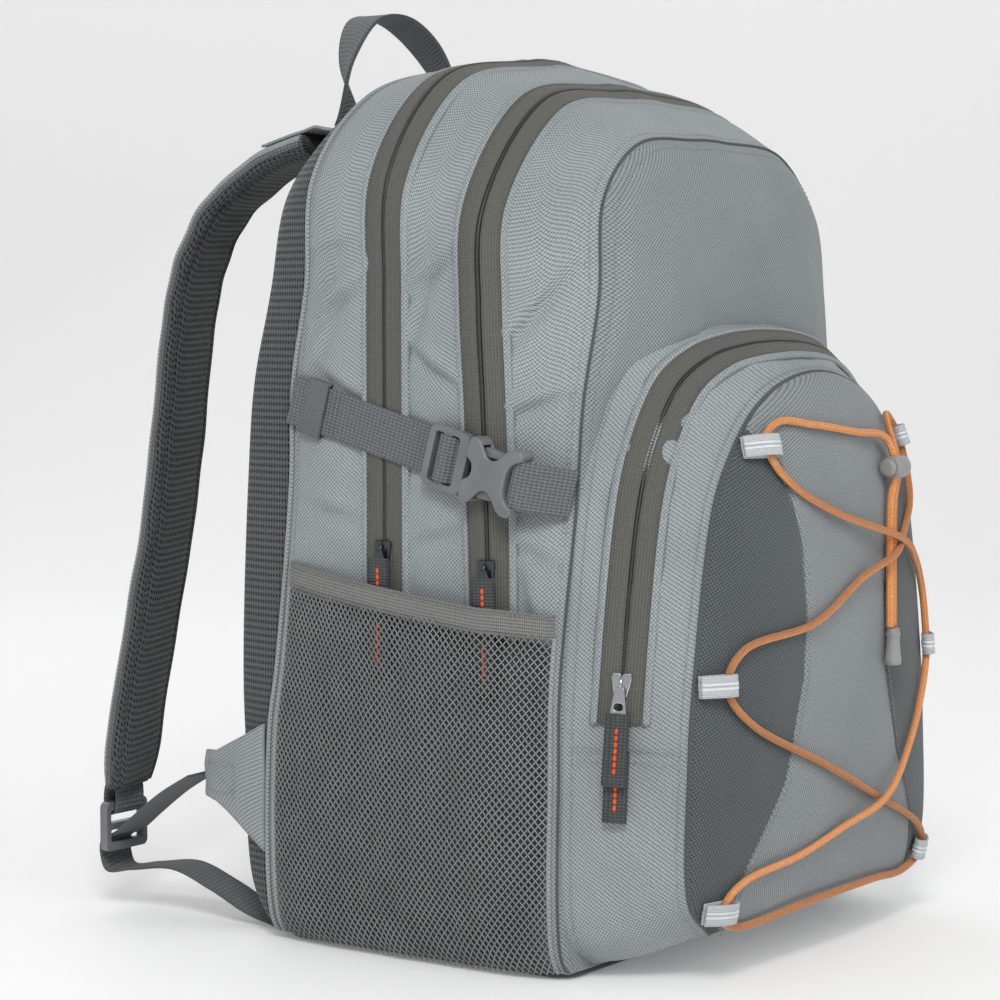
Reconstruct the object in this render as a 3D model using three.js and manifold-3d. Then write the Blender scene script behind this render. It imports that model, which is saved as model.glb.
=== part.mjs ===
// Daypack of about 30 litres, in millimetres, +Z up.
// The front pocket faces -Y, the back panel and the shoulder straps face +Y, and the origin is
// the middle of the flat base. Soft compartments are plain closed solids with their zips closed.
import * as THREE from 'three';
import { mergeVertices } from 'three/addons/utils/BufferGeometryUtils.js';
import Module from 'manifold-3d';

const wasm = await Module();
wasm.setup();

// ---- driving dimensions -------------------------------------------------------------------
const GAP = 0.4; // clearance between neighbouring pieces
const BASE_THICKNESS = 3;
const BASE = { halfWidth: 138, front: -76, back: 106, corner: 12 };
const TAPE_HALF_WIDTH = 13; // zip tape, each side of the coil
const TAPE_THICKNESS = 1.2;
const TAPE_LIFT = 1.1; // the tape's underside above the fabric
const WEBBING = { width: 25, thickness: 1.6 };
const STRAP = { width: 60, thickness: 15 };
const BUCKLE_SLOPE = Math.atan2(45, 168); // the compression strap drops towards the front
const BUCKLE_CENTRE = { out: 158.5, y: -30, z: 258.8 };
const NET_BULGE = 12;
const NET_THICKNESS = 1.4;
const BAND_HEIGHT = 11;
const FACE = { y: -139.4, edge: 1.6, crown: 19, middle: 165, reach: 145 };
const CORD_DIAMETER = 4;

const SIDES = { left: -1, right: 1 };
const HALF_SAMPLES = 22; // points along half of an outline

// ---- finishes: colour, roughness, metalness -----------------------------------------------
const GREY_FABRIC = [0x9aa0a3, 0.85, 0];
const PANEL_FABRIC = [0x94999a, 0.85, 0];
const DARK_FABRIC = [0x62676a, 0.9, 0];
const ZIP_TAPE = [0x5f605c, 0.9, 0];
const MESH_FABRIC = [0x36373a, 0.95, 0];
const NET = [0x62666a, 0.9, 0];
const ELASTIC = [0x787676, 0.9, 0];
const GREY_WEBBING = [0x6a6e71, 0.85, 0];
const PLASTIC = [0x73777b, 0.45, 0];
const DARK_METAL = [0x55585a, 0.4, 0.8];
const BRIGHT_METAL = [0xc4c6c8, 0.25, 0.9];
const REFLECTIVE = [0xd5dadf, 0.4, 0];
const ORANGE = [0xf08c46, 0.8, 0];
const FRAME_SHEET = [0x2c2d2f, 0.6, 0];

// ---- seams: half outlines as [half width, depth y, height z], from the base to the crown ---
const POCKET_EDGE = [
  [106, -139, 26], [125, -139, 44], [126, -139, 110], [122, -139, 150], [103, -139, 240],
  [88, -139, 264], [68, -139, 284], [44, -139, 297], [22, -139, 303], [6, -139, 305],
];
const POCKET_SEAM = [
  [122, -79, 6], [143, -79, 22], [147, -79, 110], [145, -79, 150], [132, -79, 245],
  [121, -80, 281], [104, -84, 311], [78, -90, 324], [40, -95, 329], [6, -96, 330],
];
const PANEL_CREST = [
  [100, -81, 16], [108, -81, 32], [108, -81, 110], [107, -81, 150], [96, -83, 245],
  [88, -92, 290], [74, -98, 345], [66, -96, 370], [44, -95, 388], [8, -95, 392],
];
const PANEL_SHOULDER = [
  [128, -80, 6], [138, -80, 22], [138, -80, 110], [137, -80, 150], [122, -81, 245],
  [116, -84, 290], [100, -90, 345], [94, -88, 385], [66, -86, 409], [8, -86, 414],
];
const FRONT_SEAM = [
  [136, -77, 0], [146, -77, 14], [148, -77, 110], [147, -77, 150], [133, -78, 245],
  [128, -78, 290], [112, -77, 345], [107, -76, 392], [75, -75, 421], [8, -74, 427],
];
const MIDDLE_ZIP = [
  [138, -38, 0], [148, -38, 14], [150, -38, 110], [150, -38, 150], [150, -35, 245],
  [150, -33, 290], [150, -30, 340], [145, -28, 385], [89, -26, 443], [8, -25, 453],
];
const REAR_ZIP = [
  [138, 28, 0], [148, 28, 14], [150, 28, 110], [150, 28, 150], [150, 28, 245],
  [150, 28, 300], [150, 28, 350], [147, 28, 405], [102, 28, 456], [8, 28, 472],
];
const BACK_SEAM = [
  [138, 107, 0], [148, 107, 14], [150, 107, 110], [150, 101, 150], [150, 91, 245],
  [150, 89, 300], [150, 80, 350], [147, 78, 405], [100, 78, 450], [8, 78, 472],
];
const BACK_CORNER = [
  [118, 118, 4], [143, 122, 22], [143, 130, 110], [143, 131, 150], [143, 127, 245],
  [143, 122, 300], [142, 110, 350], [139, 100, 400], [98, 98, 436], [8, 100, 460],
];
const BACK_CREST = [
  [95, 138, 14], [112, 140, 28], [114, 144, 110], [114, 143, 150], [114, 142, 245],
  [114, 138, 300], [112, 134, 350], [106, 129, 396], [78, 127, 424], [8, 128, 438],
];
// Samples along an outline, counted from the base, where the zips stop.
const MAIN_ZIP_END = 7;
const POCKET_ZIP_END = 6;

// ---- surfaces -----------------------------------------------------------------------------
const seamCurve = (keys) => new THREE.CatmullRomCurve3(
  keys.map(([w, y, z]) => new THREE.Vector3(-w, y, z)), false, 'centripetal');

const body = [FRONT_SEAM, MIDDLE_ZIP, REAR_ZIP, BACK_SEAM].map(seamCurve);
const gusset = [POCKET_SEAM, POCKET_EDGE].map(seamCurve);

// A point of a surface stretched between seams, on the left half: t runs up the outline, v counts
// the seams from the first one.
function skin(seams, t, v) {
  const i = THREE.MathUtils.clamp(Math.floor(v), 0, seams.length - 2);
  return seams[i].getPoint(t).lerp(seams[i + 1].getPoint(t), v - i);
}

// The frame on that surface: x across the outline, y up along it, z outwards.
function skinFrame(seams, t, v) {
  const step = 0.004;
  const along = skin(seams, Math.min(t + step, 1), v).sub(skin(seams, t - step, v)).normalize();
  const across = skin(seams, t, v + step).sub(skin(seams, t, v - step)).normalize();
  const out = new THREE.Vector3().crossVectors(along, across).normalize();
  if (out.x > 0 && out.z < 0.5) out.negate();
  if (out.z < -0.5) out.negate();
  const lateral = new THREE.Vector3().crossVectors(along, out);
  return new THREE.Matrix4().makeBasis(lateral, along, out).setPosition(skin(seams, t, v));
}

// The v that lies d millimetres from seam position v0.
function beside(seams, t, v0, d) {
  const i = Math.max(Math.ceil(v0) - (d < 0 ? 1 : 0), 0);
  const from = THREE.MathUtils.clamp(d < 0 ? i : Math.floor(v0), 0, seams.length - 2);
  const span = seams[from].getPoint(t).distanceTo(seams[from + 1].getPoint(t));
  return v0 + d / span;
}

// The t at which a surface reaches height z.
function atHeight(seams, v, z) {
  let low = 0;
  let high = 1;
  for (let i = 0; i < 30; i += 1) {
    const middle = (low + high) / 2;
    if (skin(seams, middle, v).z < z) low = middle;
    else high = middle;
  }
  return (low + high) / 2;
}

// ---- solids -------------------------------------------------------------------------------
// A closed solid through rings of equal count. Each end is closed by a ladder of faces between
// ring points k and n-1-k, so a ring runs out along one side and back along the other.
function loft(rings) {
  const n = rings[0].length;
  const positions = rings.flat().flatMap((p) => [p.x, p.y, p.z]);
  const index = [];
  const quad = (a, b, c, d) => index.push(a, b, c, a, c, d);
  for (let r = 0; r < rings.length - 1; r += 1) {
    for (let k = 0; k < n; k += 1) {
      const next = (k + 1) % n;
      quad(r * n + k, r * n + next, (r + 1) * n + next, (r + 1) * n + k);
    }
  }
  const end = (rings.length - 1) * n;
  for (let k = 0; k < n / 2 - 1; k += 1) {
    quad(k, n - 1 - k, n - 2 - k, k + 1);
    quad(end + k, end + k + 1, end + n - 2 - k, end + n - 1 - k);
  }
  return facingOut(positions, index);
}

function facingOut(positions, index) {
  let volume = 0;
  const corner = (i) => new THREE.Vector3().fromArray(positions, 3 * i);
  for (let i = 0; i < index.length; i += 3) {
    const [a, b, c] = [corner(index[i]), corner(index[i + 1]), corner(index[i + 2])];
    volume += a.dot(b.cross(c));
  }
  const geometry = new THREE.BufferGeometry();
  geometry.setAttribute('position', new THREE.Float32BufferAttribute(positions, 3));
  geometry.setIndex(volume < 0 ? index.slice().reverse() : index);
  return geometry;
}

// A symmetric ring from a left half outline, kept above the base panel.
function ring(keys, shift = 0) {
  const left = seamCurve(keys).getPoints(HALF_SAMPLES - 1);
  for (const p of left) {
    p.y += shift;
    p.z = Math.max(p.z, BASE_THICKNESS + GAP);
  }
  const right = left.map((p) => new THREE.Vector3(-p.x, p.y, p.z)).reverse();
  return [...left, ...right];
}

// A slab over rows of frames, between two heights above the surface.
function slab(rows, low, high) {
  const lift = (frame, h) => new THREE.Vector3(0, 0, h).applyMatrix4(frame);
  return loft(rows.map((row, i) => [
    ...row.map((frame, j) => lift(frame, high(i, j))),
    ...row.map((frame, j) => lift(frame, low(i, j))).reverse(),
  ]));
}

// A flat band along a path: each station is [centre, width direction], the thickness lies
// square to the width and the path.
function band(stations, width, thickness) {
  return loft(stations.map(([centre, across], i) => {
    const before = stations[Math.max(i - 1, 0)][0];
    const after = stations[Math.min(i + 1, stations.length - 1)][0];
    const along = after.clone().sub(before).normalize();
    const w = across.clone().addScaledVector(along, -across.dot(along)).normalize();
    const up = new THREE.Vector3().crossVectors(along, w);
    const corner = (a, b) => centre.clone()
      .addScaledVector(w, (a * width) / 2).addScaledVector(up, (b * thickness) / 2);
    return [corner(-1, 1), corner(1, 1), corner(1, -1), corner(-1, -1)];
  }));
}

const toManifold = (geometry) => {
  const clean = geometry.clone();
  clean.deleteAttribute('normal');
  clean.deleteAttribute('uv');
  const merged = mergeVertices(clean, 1e-4);
  return new wasm.Manifold(new wasm.Mesh({
    numProp: 3,
    vertProperties: new Float32Array(merged.attributes.position.array),
    triVerts: new Uint32Array(merged.index.array),
  }));
};

const fromManifold = (solid) => {
  const mesh = solid.getMesh();
  const geometry = new THREE.BufferGeometry();
  geometry.setAttribute('position', new THREE.BufferAttribute(mesh.vertProperties, 3));
  geometry.setIndex(new THREE.BufferAttribute(mesh.triVerts, 1));
  return geometry;
};

// A block cut by others, as plain boxes of [x, y, z] ranges.
const block = ([x0, x1], [y0, y1], [z0, z1]) => new THREE.BoxGeometry(x1 - x0, y1 - y0, z1 - z0)
  .translate((x0 + x1) / 2, (y0 + y1) / 2, (z0 + z1) / 2);
const carved = (blank, ...cuts) => fromManifold(
  cuts.reduce((solid, cut) => solid.subtract(toManifold(cut)), toManifold(blank)));

// ---- assembly -----------------------------------------------------------------------------
const daypack = new THREE.Group();
function add(name, geometry, [color, roughness, metalness], parent = daypack) {
  const mesh = new THREE.Mesh(geometry,
    new THREE.MeshStandardMaterial({ color, roughness, metalness }));
  mesh.name = name;
  parent.add(mesh);
  return mesh;
}

// Base: a flat panel that the pack stands on.
const baseOutline = new THREE.Shape();
const { halfWidth: bw, front: bf, back: bb, corner: br } = BASE;
baseOutline.moveTo(-bw + br, bf);
baseOutline.absarc(bw - br, bf + br, br, -Math.PI / 2, 0, false);
baseOutline.absarc(bw - br, bb - br, br, 0, Math.PI / 2, false);
baseOutline.absarc(-bw + br, bb - br, br, Math.PI / 2, Math.PI, false);
baseOutline.absarc(-bw + br, bf + br, br, Math.PI, Math.PI * 1.5, false);
add('base_panel', new THREE.ExtrudeGeometry(baseOutline,
  { depth: BASE_THICKNESS, bevelEnabled: false, curveSegments: 4 }), DARK_FABRIC);

// Compartments, from the back to the front, parted at the zips.
const between = (a, b, share) => a.map((key, i) => key.map(
  (value, k) => THREE.MathUtils.lerp(value, b[i][k], share)));
add('rear_compartment', loft([
  ring(REAR_ZIP, GAP / 2), ring(between(REAR_ZIP, BACK_SEAM, 0.25)), ring(BACK_SEAM)]), GREY_FABRIC);
add('middle_compartment', loft([ring(MIDDLE_ZIP, GAP / 2), ring(REAR_ZIP, -GAP / 2)]), GREY_FABRIC);
const frontRings = (grow) => [
  PANEL_CREST, PANEL_SHOULDER, FRONT_SEAM, between(FRONT_SEAM, MIDDLE_ZIP, 0.3),
  between(FRONT_SEAM, MIDDLE_ZIP, 0.65), MIDDLE_ZIP,
].map((keys, i) => ring(keys.map(([w, y, z]) => [w + grow, y, z + grow]),
  i === 5 ? -GAP / 2 : -grow));
add('front_compartment', loft(frontRings(0)), PANEL_FABRIC);

// Back: a stiff sheet inside the padded spacer-mesh panel.
const inset = (keys, by, shift) => keys.map(([w, y, z]) => [
  Math.max(w - by, 4), y + shift, THREE.MathUtils.clamp(z, 20, 440)]);
add('frame_sheet', loft([
  ring(inset(BACK_SEAM, 20, GAP)), ring(inset(BACK_SEAM, 20, GAP + 1.6))]), FRAME_SHEET);
add('back_panel', loft([
  ring(BACK_SEAM, 2 * GAP + 1.6), ring(BACK_CORNER), ring(BACK_CREST)]), MESH_FABRIC);

// Front pocket: a deep gusset on the front panel, and a crowned face on its edge.
const pocketInside = POCKET_SEAM.map(([w, , z]) => [w, -60, z]);
add('pocket_gusset', carved(
  loft([ring(POCKET_EDGE), ring(between(POCKET_EDGE, POCKET_SEAM, 0.3)),
    ring(between(POCKET_EDGE, POCKET_SEAM, 0.7)), ring(POCKET_SEAM), ring(pocketInside)]), loft(frontRings(GAP))), GREY_FABRIC);

// The face's half width at a height, and its crowned surface.
const edgePoints = seamCurve(POCKET_EDGE).getPoints(60);
function faceHalfWidth(z) {
  const i = Math.max(edgePoints.findIndex((p) => p.z > z), 1);
  const [a, b] = [edgePoints[i - 1], edgePoints[i]];
  return -THREE.MathUtils.lerp(a.x, b.x, (z - a.z) / (b.z - a.z));
}
function crownAt(share, z) {
  const across = Math.max(1 - Math.abs(share) ** 3, 0);
  const up = Math.max(1 - ((z - FACE.middle) / FACE.reach) ** 6, 0);
  return FACE.crown * across * up;
}
function faceY(x, z) {
  return FACE.y - FACE.edge - crownAt(x / faceHalfWidth(z), z);
}
const faceColumns = 12;
const faceRows = seamCurve(POCKET_EDGE).getPoints(16).map((p) => {
  const xs = Array.from({ length: faceColumns + 1 }, (_, j) => p.x * (1 - (2 * j) / faceColumns));
  const frontY = (x) => FACE.y - FACE.edge - crownAt(x / p.x, p.z);
  return [
    ...xs.map((x) => new THREE.Vector3(x, frontY(x), p.z)),
    ...xs.map((x) => new THREE.Vector3(x, FACE.y, p.z)).reverse(),
  ];
});
add('pocket_face', loft(faceRows), PANEL_FABRIC);

// Zip tapes: bands over the crown, from the low end on the left to the low end on the right.
function zipTape(seams, v0, first) {
  const offsets = [-TAPE_HALF_WIDTH, 0, TAPE_HALF_WIDTH];
  const left = Array.from({ length: HALF_SAMPLES - first }, (_, i) => {
    const t = Math.min((first + i) / (HALF_SAMPLES - 1), 0.9999);
    return offsets.map((d) => skinFrame(seams, t, beside(seams, t, v0, d)));
  });
  const outer = TAPE_LIFT + TAPE_THICKNESS;
  const raise = (frame, h) => new THREE.Vector3(0, 0, h).applyMatrix4(frame);
  const leftRings = left.map((row) => [
    ...row.map((f) => raise(f, outer)), ...row.map((f) => raise(f, TAPE_LIFT)).reverse()]);
  const rightRings = leftRings.map((r) => r.map((p) => new THREE.Vector3(-p.x, p.y, p.z)));
  return loft([...leftRings, ...rightRings.reverse()]);
}
add('rear_zip_tape', zipTape(body, 2, MAIN_ZIP_END), ZIP_TAPE);
add('middle_zip_tape', zipTape(body, 1, MAIN_ZIP_END), ZIP_TAPE);
add('pocket_zip_tape', zipTape(gusset, 0.45, POCKET_ZIP_END), ZIP_TAPE);

// Zip sliders with their pull tabs. A slider sits over the coil, its tab hangs from its low end.
const sliderShape = new THREE.Shape();
sliderShape.moveTo(-5, 6);
sliderShape.lineTo(5, 6);
sliderShape.lineTo(3, -6);
sliderShape.lineTo(-3, -6);
function zipPull(name, seams, v, height, tab, finish) {
  const place = new THREE.Group();
  place.applyMatrix4(skinFrame(seams, atHeight(seams, v, height), v));
  daypack.add(place);
  const foot = TAPE_LIFT + TAPE_THICKNESS + 0.6;
  const slider = new THREE.ExtrudeGeometry(sliderShape, { depth: 3.6, bevelEnabled: false });
  add(`${name}_slider`, slider.translate(0, 0, foot), finish, place);
  const tabTop = -tab.drop;
  const pull = block([-6, 6], [tabTop - tab.length, tabTop], [tab.lift, tab.lift + 2.4]);
  add(`${name}_pull_tab`, pull, GREY_WEBBING, place);
}
const hanging = (length) => ({ drop: 3, length, lift: 6.8 });
zipPull('rear_upper', body, 2, 213, hanging(24), DARK_METAL);
zipPull('rear_lower', body, 2, 186, hanging(32), DARK_METAL);
zipPull('middle_upper', body, 1, 206, hanging(24), DARK_METAL);
zipPull('middle_lower', body, 1, 179, hanging(32), DARK_METAL);
zipPull('pocket_upper', gusset, 0.45, 152, { drop: 14, length: 36, lift: 7 }, BRIGHT_METAL);
zipPull('pocket_lower', gusset, 0.45, 133, { drop: 13, length: 36, lift: 3.6 }, DARK_METAL);

// Net side pockets with an elastic band at the mouth, which drops towards the front.
const mouthHeight = (y) => THREE.MathUtils.mapLinear(y, -72, 107, 174, 195);
function netFrame(v, share) {
  const y = skin(body, 0.3, v).y;
  const z = THREE.MathUtils.lerp(5, mouthHeight(y), share);
  return skinFrame(body, atHeight(body, v, z), v);
}
function netBulge(q, share) {
  return NET_BULGE * Math.sin(Math.PI * q) ** 0.6 * Math.sin(Math.min(share * 2.2, 1) * Math.PI / 2);
}
const NET_COLUMNS = 14;
const NET_ROWS = 7;
const netRange = [0.12, 2.94];
const netColumn = (j) => THREE.MathUtils.lerp(netRange[0], netRange[1], j / NET_COLUMNS);
const mirrored = (geometry) => {
  const positions = Array.from(geometry.attributes.position.array, (c, i) => (i % 3 ? c : -c));
  return facingOut(positions, Array.from(geometry.index.array));
};
const netLow = (i, j) => GAP + netBulge(j / NET_COLUMNS, i / NET_ROWS);
const netRows = Array.from({ length: NET_ROWS + 1 }, (_, i) => Array.from(
  { length: NET_COLUMNS + 1 }, (__, j) => netFrame(netColumn(j), i / NET_ROWS)));
const net = slab(netRows, netLow, (i, j) => netLow(i, j) + NET_THICKNESS);
const bandFrame = (j, rise) => {
  const v = netColumn(j);
  const z = mouthHeight(skin(body, 0.3, v).y) + rise;
  return skinFrame(body, atHeight(body, v, z), v);
};
const bandRows = [GAP, BAND_HEIGHT].map((rise) => Array.from(
  { length: NET_COLUMNS + 1 }, (_, j) => bandFrame(j, rise)));
const bandLow = (i, j) => GAP + netBulge(j / NET_COLUMNS, 1) - 0.4 * Math.sin(Math.PI * j / NET_COLUMNS);
const elastic = slab(bandRows, bandLow, (i, j) => bandLow(i, j) + 2);
add('net_pocket_left', net, NET);
add('net_pocket_right', mirrored(net), NET);
add('pocket_elastic_left', elastic, ELASTIC);
add('pocket_elastic_right', mirrored(elastic), ELASTIC);

// Compression straps: webbing from the back seam through a keeper to a side-release buckle,
// and a short webbing from the buckle to the front seam. Buckle axes: x towards the front along
// the strap, y across it, z outwards.
const FEMALE = { length: 33, half: 17.5, thick: 6, wall: 3.6 };
const femaleBlank = block([0, FEMALE.length], [-FEMALE.half, FEMALE.half], [-FEMALE.thick, FEMALE.thick]);
const female = carved(
  femaleBlank,
  block([-1, 21], [-13.5, 13.5], [-FEMALE.wall, FEMALE.wall]),
  block([7, 19], [-20, -10], [-FEMALE.wall, FEMALE.wall]),
  block([7, 19], [10, 20], [-FEMALE.wall, FEMALE.wall]),
  block([24, 29], [-13, 13], [-20, 20]),
);
const male = carved(
  block([-27, -1.5], [-16, 16], [-3, 3]),
  block([-23.5, -17.5], [-13, 13], [-9, 9]),
  block([-13.5, -7.5], [-13, 13], [-9, 9]),
);
const prongShape = (s) => {
  const shape = new THREE.Shape();
  shape.moveTo(-1, 7 * s);
  shape.lineTo(-1, 11 * s);
  shape.lineTo(8, 11.5 * s);
  shape.lineTo(12, 13.1 * s);
  shape.lineTo(18, 12 * s);
  shape.lineTo(20, 9 * s);
  shape.lineTo(14, 7.5 * s);
  return shape;
};
const prong = (s) => new THREE.ExtrudeGeometry(prongShape(s), { depth: 5, bevelEnabled: false })
  .translate(0, 0, -2.5);
for (const [side, sign] of Object.entries(SIDES)) {
  const along = new THREE.Vector3(0, -Math.cos(BUCKLE_SLOPE), -Math.sin(BUCKLE_SLOPE));
  const out = new THREE.Vector3(sign, 0, 0);
  const across = new THREE.Vector3().crossVectors(out, along);
  const place = new THREE.Group();
  place.applyMatrix4(new THREE.Matrix4().makeBasis(along, across, out)
    .setPosition(sign * BUCKLE_CENTRE.out, BUCKLE_CENTRE.y, BUCKLE_CENTRE.z));
  daypack.add(place);
  const strapFoot = -5.8;
  const strapTop = strapFoot + WEBBING.thickness;
  const halfWeb = WEBBING.width / 2;
  add(`compression_webbing_rear_${side}`,
    block([-122, -4], [-halfWeb, halfWeb], [strapFoot, strapTop]), GREY_WEBBING, place);
  add(`webbing_keeper_${side}`, carved(
    block([-112, -99], [-halfWeb - 2, halfWeb + 2], [strapFoot - 1, strapTop + 1.6]),
    block([-120, -90], [-halfWeb - 0.8, halfWeb + 0.8], [strapFoot - GAP, strapTop + GAP])),
  GREY_WEBBING, place);
  add(`buckle_male_${side}`, male, PLASTIC, place);
  add(`buckle_prong_upper_${side}`, prong(sign < 0 ? 1 : -1), PLASTIC, place);
  add(`buckle_prong_lower_${side}`, prong(sign < 0 ? -1 : 1), PLASTIC, place);
  add(`buckle_female_${side}`, female, PLASTIC, place);
  const acrossStrap = new THREE.Vector3(0, 1, 0);
  const shortStrap = [[33.6, 1], [40, -6], [46, -13.5], [50, -19.5]]
    .map(([x, z]) => [new THREE.Vector3(x, 0, z), acrossStrap]);
  add(`compression_webbing_front_${side}`,
    band(shortStrap, WEBBING.width, WEBBING.thickness), GREY_WEBBING, place);
}

// Haul loop: webbing standing in an arch over the top of the back.
const haulPath = new THREE.CatmullRomCurve3([
  [-47, 132, 441], [-50, 131, 474], [-37, 130, 498], [-10, 130, 502], [22, 130, 488],
  [44, 131, 464], [47, 132, 441],
].map((p) => new THREE.Vector3(...p)));
const HAUL_STEPS = 24;
const haulStations = haulPath.getPoints(HAUL_STEPS).map((p, i) => {
  // The ends lie flat in the seam and the webbing turns a quarter on its way to the top.
  const turn = (Math.PI / 2) * Math.sin((Math.PI * i) / HAUL_STEPS) ** 0.8;
  return [p, new THREE.Vector3(Math.cos(turn), Math.sin(turn), 0)];
});
add('haul_loop', band(haulStations, WEBBING.width, 2.4), GREY_WEBBING);

// Shoulder straps: padded bands from the top of the back, out and down to a ladder lock.
const strapKeys = [
  // centre x, outer y, outer z
  [52, 148, 436], [50, 181, 428], [50, 205, 414], [54, 222, 398], [60, 235, 371], [66, 239, 343],
  [76, 239, 289], [87, 238, 229], [102, 237, 172], [117, 237, 115], [126, 237, 70],
];
const ladderLock = carved(
  block([-17, 17], [-3, 3], [-14, 14]),
  block([-13.2, 13.2], [-9, 9], [2, 9]),
  block([-13.2, 13.2], [-9, 9], [-9, -2]),
);
for (const [side, sign] of Object.entries(SIDES)) {
  const outerPath = new THREE.CatmullRomCurve3(
    strapKeys.map(([x, y, z]) => new THREE.Vector3(sign * x, y, z)), false, 'centripetal');
  const across = new THREE.Vector3(-sign * Math.cos(0.26), Math.sin(0.26), 0);
  const points = outerPath.getPoints(22);
  const stations = points.map((p, i) => {
    const next = points[Math.min(i + 1, points.length - 1)];
    const last = points[Math.max(i - 1, 0)];
    const along = next.clone().sub(last).normalize();
    const inward = new THREE.Vector3(0, along.z, -along.y).normalize();
    return [p.clone().addScaledVector(inward, STRAP.thickness / 2), across];
  });
  add(`shoulder_strap_${side}`, band(stations, STRAP.width, STRAP.thickness), MESH_FABRIC);
  const lock = add(`ladder_lock_${side}`, ladderLock, PLASTIC);
  lock.position.set(sign * 127, 233, 47);
  const corner = new THREE.Vector3(1, 0, 0);
  const adjuster = [
    [138, 163, 84], [133, 190, 70], [129, 214, 54], [127.6, 227, 44.5], [127.3, 233, 41.5],
    [127.2, 238.6, 38.5], [127, 239.6, 31], [126.5, 236, 22], [125, 218, 24], [123, 190, 27],
    [120, 165, 18], [117, 142, 7], [114, 126, 2],
  ].map(([x, y, z]) => [new THREE.Vector3(sign * x, y, z), corner]);
  add(`adjuster_webbing_${side}`, band(adjuster, WEBBING.width, WEBBING.thickness), GREY_WEBBING);
  const tabLow = [[152.4, 109, 48], [152.4, 109, 117], [149, 128, 108], [143, 150, 98],
    [138.5, 161, 97], [138.5, 161, 72], [143, 150, 70], [149, 128, 60]];
  const tabRing = (thickness) => tabLow.map(([x, y, z]) => new THREE.Vector3(
    sign * (x + thickness), y, z));
  const flat = (thickness) => {
    const p = tabRing(thickness);
    return [p[0], p[7], p[6], p[5], p[4], p[3], p[2], p[1]];
  };
  add(`corner_tab_${side}`, loft([flat(0), flat(2)]), GREY_FABRIC);
}

// Cord loops on the edge of the pocket face, the laced elastic cord, its lock and its end.
const LOOP = { upper: { x: 82, z: 268 }, middle: { x: 121, z: 152 }, lower: { x: 118, z: 39 } };
const loopSolid = carved(block([0, 20], [-5.6, 5.6], [0, 7.8]), block([-1, 19.2], [-9, 9], [0.8, 7]));
for (const [level, { x, z }] of Object.entries(LOOP)) {
  for (const [side, sign] of Object.entries(SIDES)) {
    const onFace = (px, pz) => new THREE.Vector3(sign * px, faceY(px, pz), pz);
    const inward = onFace(x - 20, z).sub(onFace(x, z)).normalize();
    const up = onFace(x - 10, z + 6).sub(onFace(x - 10, z - 6)).normalize();
    const outward = new THREE.Vector3().crossVectors(inward, up).normalize();
    if (outward.y > 0) outward.negate();
    const across = new THREE.Vector3().crossVectors(outward, inward);
    const place = new THREE.Group();
    place.applyMatrix4(new THREE.Matrix4().makeBasis(inward, across, outward)
      .setPosition(onFace(x, z).addScaledVector(outward, 2.5 * GAP)));
    daypack.add(place);
    add(`cord_loop_${level}_${side}`, loopSolid, REFLECTIVE, place);
  }
}

// The lacing, from the cord end up one tail, through the loops from side to side, and back down
// the other tail: points are [x, z, height of the cord's centre above the pocket face].
const LACING = [
  [40.2, 168.4, 4.4], [42, 236, 4], [43, 254, 7.2], [38, 269, 6], [5, 274, 3.2],
  [-35, 279, 3], [-59, 281, 3.4], [-71, 273, 4.2], [-70, 261, 4.2], [-56, 248, 3.2],
  [-15, 232, 3.4], [50, 215.5, 7.4], [80, 204, 4.4], [107, 183, 3.6], [111, 166, 4.2],
  [109.5, 146, 4.2], [97, 127, 3.2], [74, 103, 3.2], [32, 78.5, 7.4], [-8, 67.5, 3.4],
  [-50, 59, 3.2], [-95, 52, 3.4], [-107, 44, 4.4], [-107, 34.5, 4.4], [-92, 28, 3.4],
  [-20, 30, 3.2], [50, 30, 3.2], [91, 28, 3.4], [108, 34.5, 4.6], [107, 44, 4.4],
  [95, 54, 3.4], [32, 78.5, 2.8], [-30, 104, 3.4], [-92, 131, 3.4], [-107, 146, 4.2],
  [-107, 158, 4.2], [-96, 169, 3.4], [-40, 178, 3.2], [10, 198, 3.6], [41, 208, 7.4],
  [62, 216, 3], [79, 235, 3.2], [73, 258, 4.2], [71.5, 271, 4.2], [61, 281, 3.6],
  [50, 278, 4.4], [48, 254, 7.2], [47, 236, 4], [44.6, 168.4, 4.4],
];
const lacingKeys = new THREE.CatmullRomCurve3(
  LACING.map((p) => new THREE.Vector3(...p)), false, 'centripetal');
class Lacing extends THREE.Curve {
  getPoint(t) {
    const p = lacingKeys.getPoint(t);
    return new THREE.Vector3(p.x, faceY(p.x, p.y) - p.z, p.y);
  }

  getPointAt(t) {
    return this.getPoint(t);
  }

  getTangentAt(t) {
    return this.getTangent(t);
  }
}
const CORD_SIDES = 8;
const cordSection = new THREE.Shape(Array.from({ length: CORD_SIDES }, (_, i) => {
  const angle = (2 * Math.PI * i) / CORD_SIDES;
  return new THREE.Vector2(Math.cos(angle), Math.sin(angle)).multiplyScalar(CORD_DIAMETER / 2);
}));
add('elastic_cord', new THREE.ExtrudeGeometry(cordSection,
  { steps: 84, bevelEnabled: false, extrudePath: new Lacing() }), ORANGE);

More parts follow.
